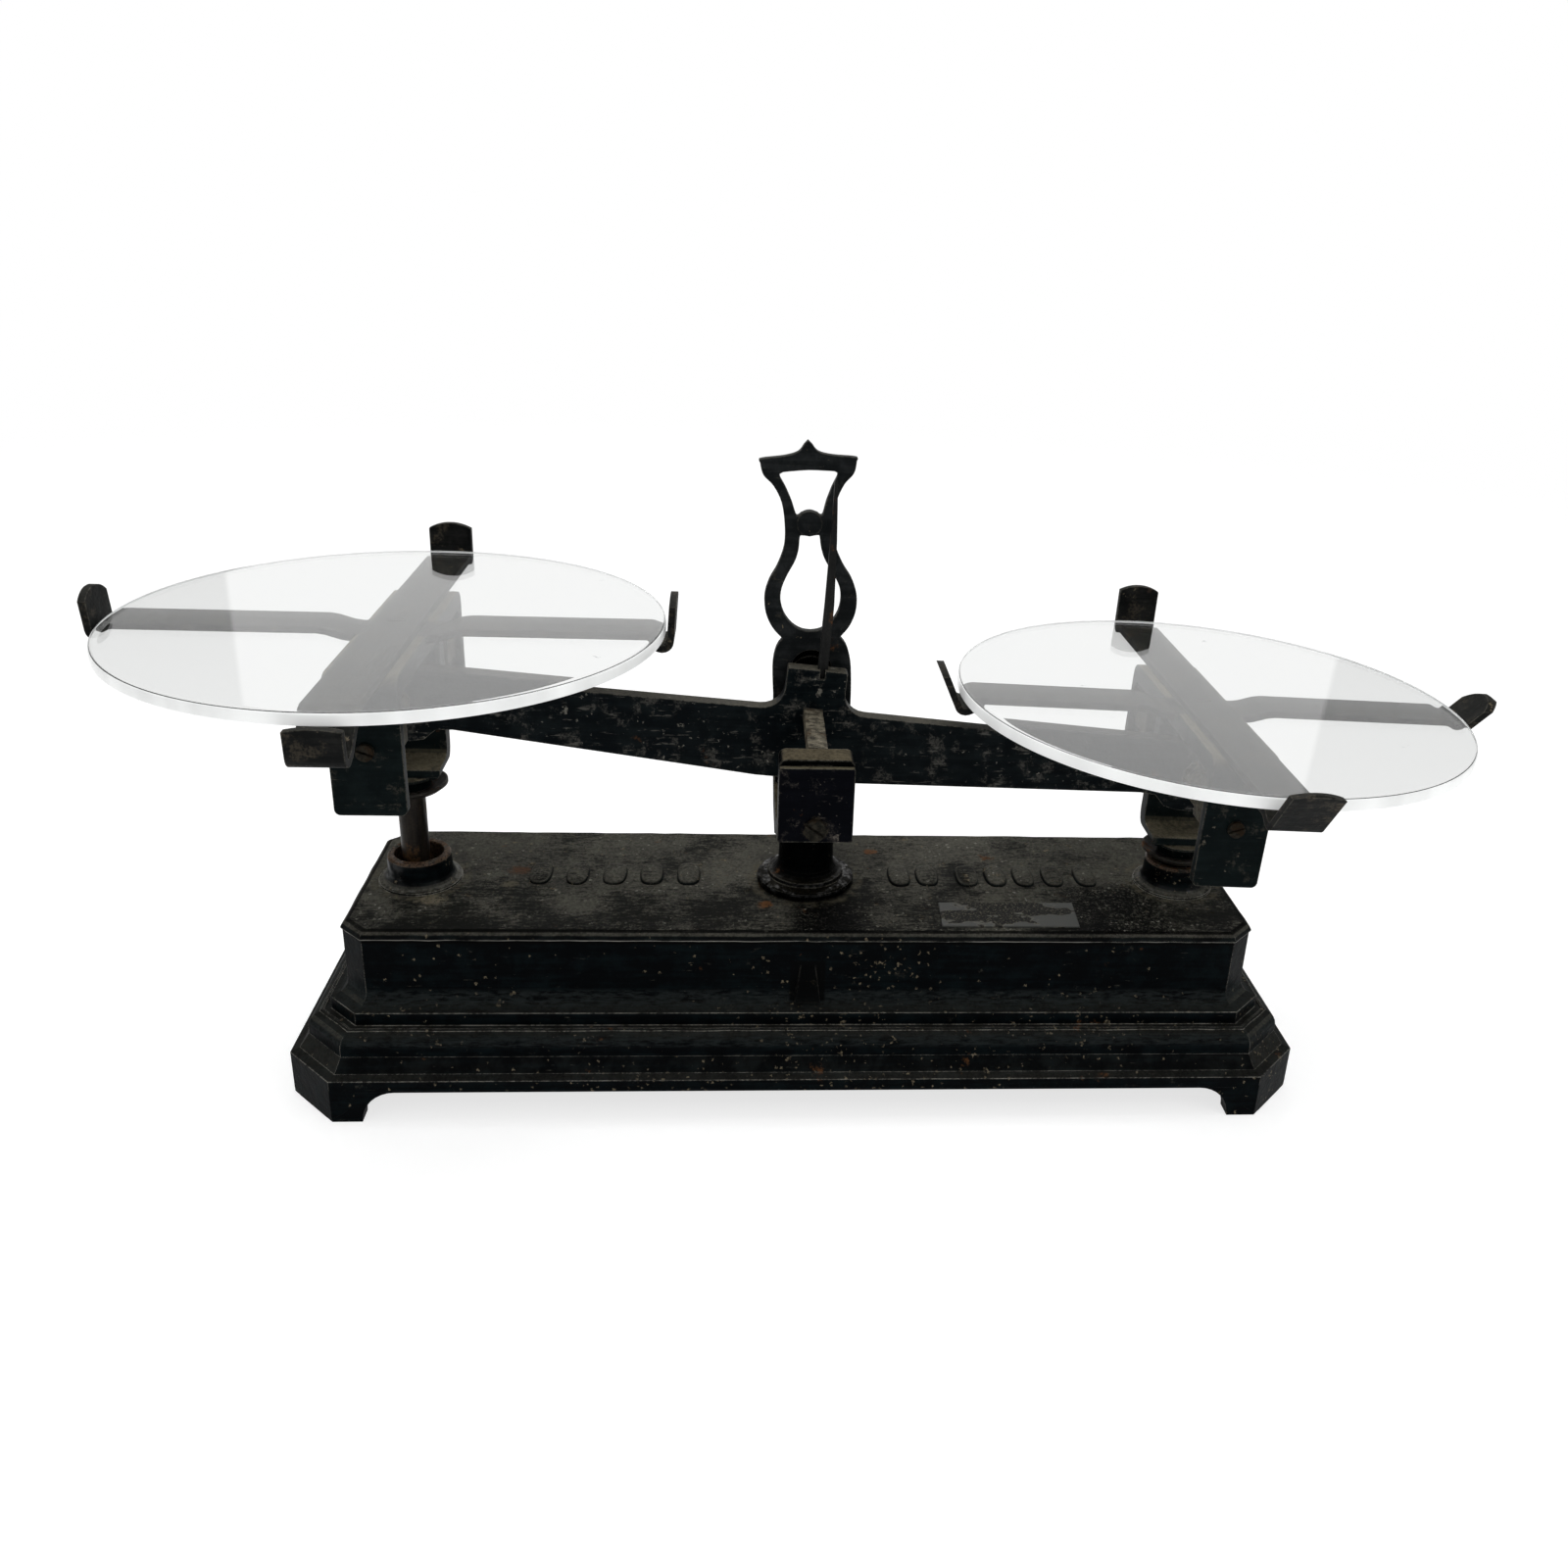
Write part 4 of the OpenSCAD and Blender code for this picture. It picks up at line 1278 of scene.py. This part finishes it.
@dataclass
class CarrierAssembly:
    """One pan carrier: casting, stem, collar, bearings, screws and cross strips."""

    box: Paintbox
    side: str
    iron: Coat = Coat("carrier_paint", dust=1.0, dust_from=0.20, chip_share=0.16, rust_share=0.05,
                      specular=0.04, roughness=0.44, tint=(0.0014, 0.0040, 0.0044),
                      cloud=(0.0040, 0.0078, 0.0080), dust_tone=(0.150, 0.130, 0.088), patch=0.12,
                      chip_tone=(0.100, 0.090, 0.070))
    strip: Coat = Coat("strip_paint", dust=0.35, chip_share=0.12, rust_share=0.07, specular=0.06,
                       roughness=0.52, tint=(0.0045, 0.0052, 0.0052), cloud=(0.016, 0.016, 0.015),
                       rust_tone=(0.055, 0.038, 0.028), patch=0.15, patch_tone=(0.046, 0.039, 0.029),
                       grain=0.00028)
    stem: Bare = Bare("stem_steel", tone=(0.024, 0.019, 0.013), dirt=(0.004, 0.003, 0.003), metal=0.35,
                      rust=(0.070, 0.036, 0.014), rust_share=0.13, roughness=0.36, lines=(1.0, 1.0, 0.12))
    collar: Bare = Bare("collar_iron", tone=(0.034, 0.030, 0.024), dirt=(0.008, 0.007, 0.006), metal=0.3,
                        rust_share=0.08, roughness=0.5, slot=Slot.IRON)
    block: Bare = ColumnAssembly.block
    screw: Bare = ColumnAssembly.screw

    def build(self) -> None:
        """Dresses the carrier's nodes."""
        finishes: dict[str, Finish] = {
            "carrier": self.iron, "long_strip": self.strip, "cross_strip": self.strip, "stem": self.stem,
            "collar": self.collar, "bearings": self.block, "bearing_screws": self.screw,
            "hub_screw": self.screw}
        self.box.coat_nodes({f"{self.side}_{part}": finish for part, finish in finishes.items()})


@dataclass
class PanAssembly:
    """One clear pan, turned with rounded rims from the CAD disc's own place."""

    box: Paintbox
    side: str
    body: Body
    round_edge: float = 0.0009
    corner_steps: int = 4
    flat_share: float = 0.97
    steps: int = 224

    def build(self) -> None:
        """Makes the pan and stands it in for its CAD node."""
        node = self.side + "_pan"
        points = np.array([vertex.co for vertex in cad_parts[node].data.vertices])
        low, high = points.min(axis=0), points.max(axis=0)
        middle = Vector((low + high) / 2)
        spread = np.linalg.eigh(np.cov((points - points.mean(axis=0)).T))[1]
        axis = Vector(spread[:, 0])
        axis *= 1 if axis.z > 0 else -1
        along = [(Vector(point) - middle).dot(axis) for point in points]
        thick = max(along) - min(along)
        radius = max(((Vector(point) - middle) - axis * ((Vector(point) - middle).dot(axis))).length
                     for point in points)
        turn = Vector((0, 0, 1)).rotation_difference(axis).to_matrix().to_4x4()
        piece = self.disc(self.side + "_clear_pan", radius, thick, Matrix.Translation(middle) @ turn)
        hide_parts(node)
        self.box.coat_piece(piece, ClearSheet(), self.body)

    def disc(self, name: str, radius: float, thick: float, place: Matrix) -> bpy.types.Object:
        """Turns a disc with rounded rims.

        Args:
            name: the piece's name.
            radius: its radius.
            thick: its thickness.
            place: where its middle goes.

        Returns:
            The disc.
        """
        edge, half = self.round_edge, thick / 2
        corner = [i * math.pi / 2 / self.corner_steps for i in range(self.corner_steps + 1)]
        lower = [(radius - edge + edge * math.sin(a), -half + edge - edge * math.cos(a)) for a in corner]
        inner = radius * self.flat_share
        profile = [(inner, -half), *lower, *[(r, -z) for r, z in reversed(lower)], (inner, half)]
        verts = [place @ Vector((r * math.cos(t), r * math.sin(t), z))
                 for t in (2 * math.pi * k / self.steps for k in range(self.steps)) for r, z in profile]
        rows = len(profile)
        faces = wall_faces(self.steps, rows, False)
        faces.append(tuple(k * rows for k in reversed(range(self.steps))))
        faces.append(tuple(k * rows + rows - 1 for k in range(self.steps)))
        return add_mesh(name, verts, faces)


# Studio


@dataclass(frozen=True)
class Lamp:
    """A soft rectangular lamp, its place and its power in watts."""

    name: str
    spot: Triple
    width: float
    depth: float
    power: float

    def build(self, target: Vector) -> None:
        """Hangs the lamp.

        Args:
            target: the point that it faces.
        """
        light = bpy.data.lights.new(self.name, "AREA")
        light.shape = "RECTANGLE"
        light.size, light.size_y, light.energy = self.width, self.depth, self.power
        lamp = bpy.data.objects.new(self.name, light)
        lamp.location = self.spot
        lamp.rotation_euler = (target - Vector(self.spot)).to_track_quat("-Z", "Y").to_euler()
        bpy.context.collection.objects.link(lamp)


@dataclass
class Studio:
    """Camera, white surroundings, soft lamps and a pale floor."""

    spot: Triple = (-0.030073997, -0.550695815, 0.368975783)
    yaw: float = 0.08743736
    pitch: float = 0.38717033
    roll: float = 0.04737388
    focal: float = 1380.36334
    centre: Span = (868.06477, 761.97455)
    side: int = 1600
    sensor: float = 36.0
    lamps: Sequence[Lamp] = (Lamp("key", (-0.20, 0.35, 1.60), 1.3, 1.0, 13.0),
                             Lamp("fill", (1.30, -0.90, 1.20), 0.8, 0.8, 3.0))
    target: Triple = (0.0, 0.0, 0.08)
    level: float = 0.55
    wall_turn: float = 0.048
    wall_half: float = 0.409
    wall_edge: float = 0.005
    side_level: float = 0.40
    floor_radius: float = 2.4
    floor_steps: int = 96
    floor_tone: Tone = (0.46, 0.46, 0.46)
    floor_glow: float = 0.48
    floor_seen: float = 0.24
    fade_from: float = 0.45
    fade_share: float = 0.8

    def build(self) -> None:
        """Sets up everything that isn't part of the object."""
        self.camera()
        self.world()
        for lamp in self.lamps:
            lamp.build(Vector(self.target))
        self.floor()
        bpy.context.scene.view_settings.view_transform = "Standard"

    def camera(self) -> None:
        """Puts the camera where the photograph was taken from."""
        ahead = Vector((math.sin(self.yaw) * math.cos(self.pitch), math.cos(self.yaw) * math.cos(self.pitch),
                        -math.sin(self.pitch)))
        right = Vector((math.cos(self.yaw), -math.sin(self.yaw), 0.0))
        top = right.cross(ahead)
        across = right * math.cos(self.roll) + top * math.sin(self.roll)
        over = top * math.cos(self.roll) - right * math.sin(self.roll)
        lens = bpy.data.cameras.new("camera")
        lens.sensor_width = self.sensor
        lens.lens = self.focal / self.side * self.sensor
        lens.shift_x = -(self.centre[0] - self.side / 2) / self.side
        lens.shift_y = (self.centre[1] - self.side / 2) / self.side
        lens.clip_start = 0.01
        camera = bpy.data.objects.new("camera", lens)
        turn = Matrix((across, over, -ahead)).transposed().to_4x4()
        camera.matrix_world = Matrix.Translation(self.spot) @ turn
        bpy.context.collection.objects.link(camera)
        bpy.context.scene.camera = camera

    def mirrored(self, maker: NodeMaker) -> Wire:
        """Returns how bright the room looks in a mirror: a white wall between two greyer ones.

        Args:
            maker: the world's node maker.

        Returns:
            The brightness by direction.
        """
        toward = maker.make("ShaderNodeTexCoord", {}, {}, "Generated")
        x, y, _ = maker.parts(toward)
        angle = maker.make("ShaderNodeMath", {"operation": "ARCTAN2"}, {0: x, 1: y})
        edges = (self.wall_half, self.wall_half + self.wall_edge)
        return maker.smooth(abs(angle - self.wall_turn), *edges, 1.0, self.side_level)

    def world(self) -> None:
        """Makes the surroundings white to look at, and softer as a light."""
        world = bpy.data.worlds.new("studio")
        world.use_nodes = True
        world.node_tree.nodes.clear()
        maker = NodeMaker(world.node_tree)
        path = maker.make("ShaderNodeLightPath", {}, {}, "Is Camera Ray")
        through = maker.output(path, "Is Transmission Ray")
        mirror = maker.output(path, "Is Glossy Ray") * (1.0 - through)
        strength = path.most(through) * (1.0 - self.level) + self.level
        strength = strength + mirror * (self.mirrored(maker) - self.level)
        shine = maker.make("ShaderNodeBackground", {}, {"Color": (1.0, 1.0, 1.0, 1.0), "Strength": strength})
        maker.make("ShaderNodeOutputWorld", {}, {"Surface": shine})
        bpy.context.scene.world = world

    def floor(self) -> None:
        """Adds a white floor that keeps the soft shadow and fades out far away."""
        reach, steps = self.floor_radius, self.floor_steps
        turn = [2 * math.pi * k / steps for k in range(steps)]
        ring = [(reach * math.cos(a), reach * math.sin(a), 0.0) for a in turn]
        floor = add_mesh("floor", ring, [tuple(range(steps))], smooth=False)
        material, maker = new_tree("floor_white")
        away = maker.length(maker.coordinates())
        seen = maker.make("ShaderNodeLightPath", {}, {}, "Is Camera Ray")
        chalk = maker.make("ShaderNodeBsdfDiffuse", {}, {"Color": (*self.floor_tone, 1.0)})
        glow = maker.make("ShaderNodeEmission", {}, {
            "Color": (1.0, 1.0, 1.0, 1.0), "Strength": seen * self.floor_seen + self.floor_glow})
        both = maker.make("ShaderNodeAddShader", {}, {0: chalk, 1: glow})
        gone = maker.make("ShaderNodeBsdfTransparent")
        fade = maker.smooth(away, self.fade_from, reach * self.fade_share)
        surface = maker.make("ShaderNodeMixShader", {}, {0: fade, 1: both, 2: gone})
        maker.make("ShaderNodeOutputMaterial", {}, {"Surface": surface})
        floor.data.materials.append(material)


def main() -> None:
    """Builds and dresses the scale, piece by piece."""
    logging.basicConfig(level=logging.INFO, format="%(name)s: %(message)s")
    Studio().build()
    box = Paintbox()
    assemblies = [
        BaseAssembly(box), ColumnAssembly(box), IndexAssembly(box), BeamAssembly(box), Undercarriage(box),
        CarrierAssembly(box, "left"), CarrierAssembly(box, "right"),
        PanAssembly(box, "left", Body.LEFT_PAN), PanAssembly(box, "right", Body.RIGHT_PAN)]
    for assembly in assemblies:
        LOG.info("building %s", type(assembly).__name__)
        assembly.build()


if __name__ == "__main__":
    main()
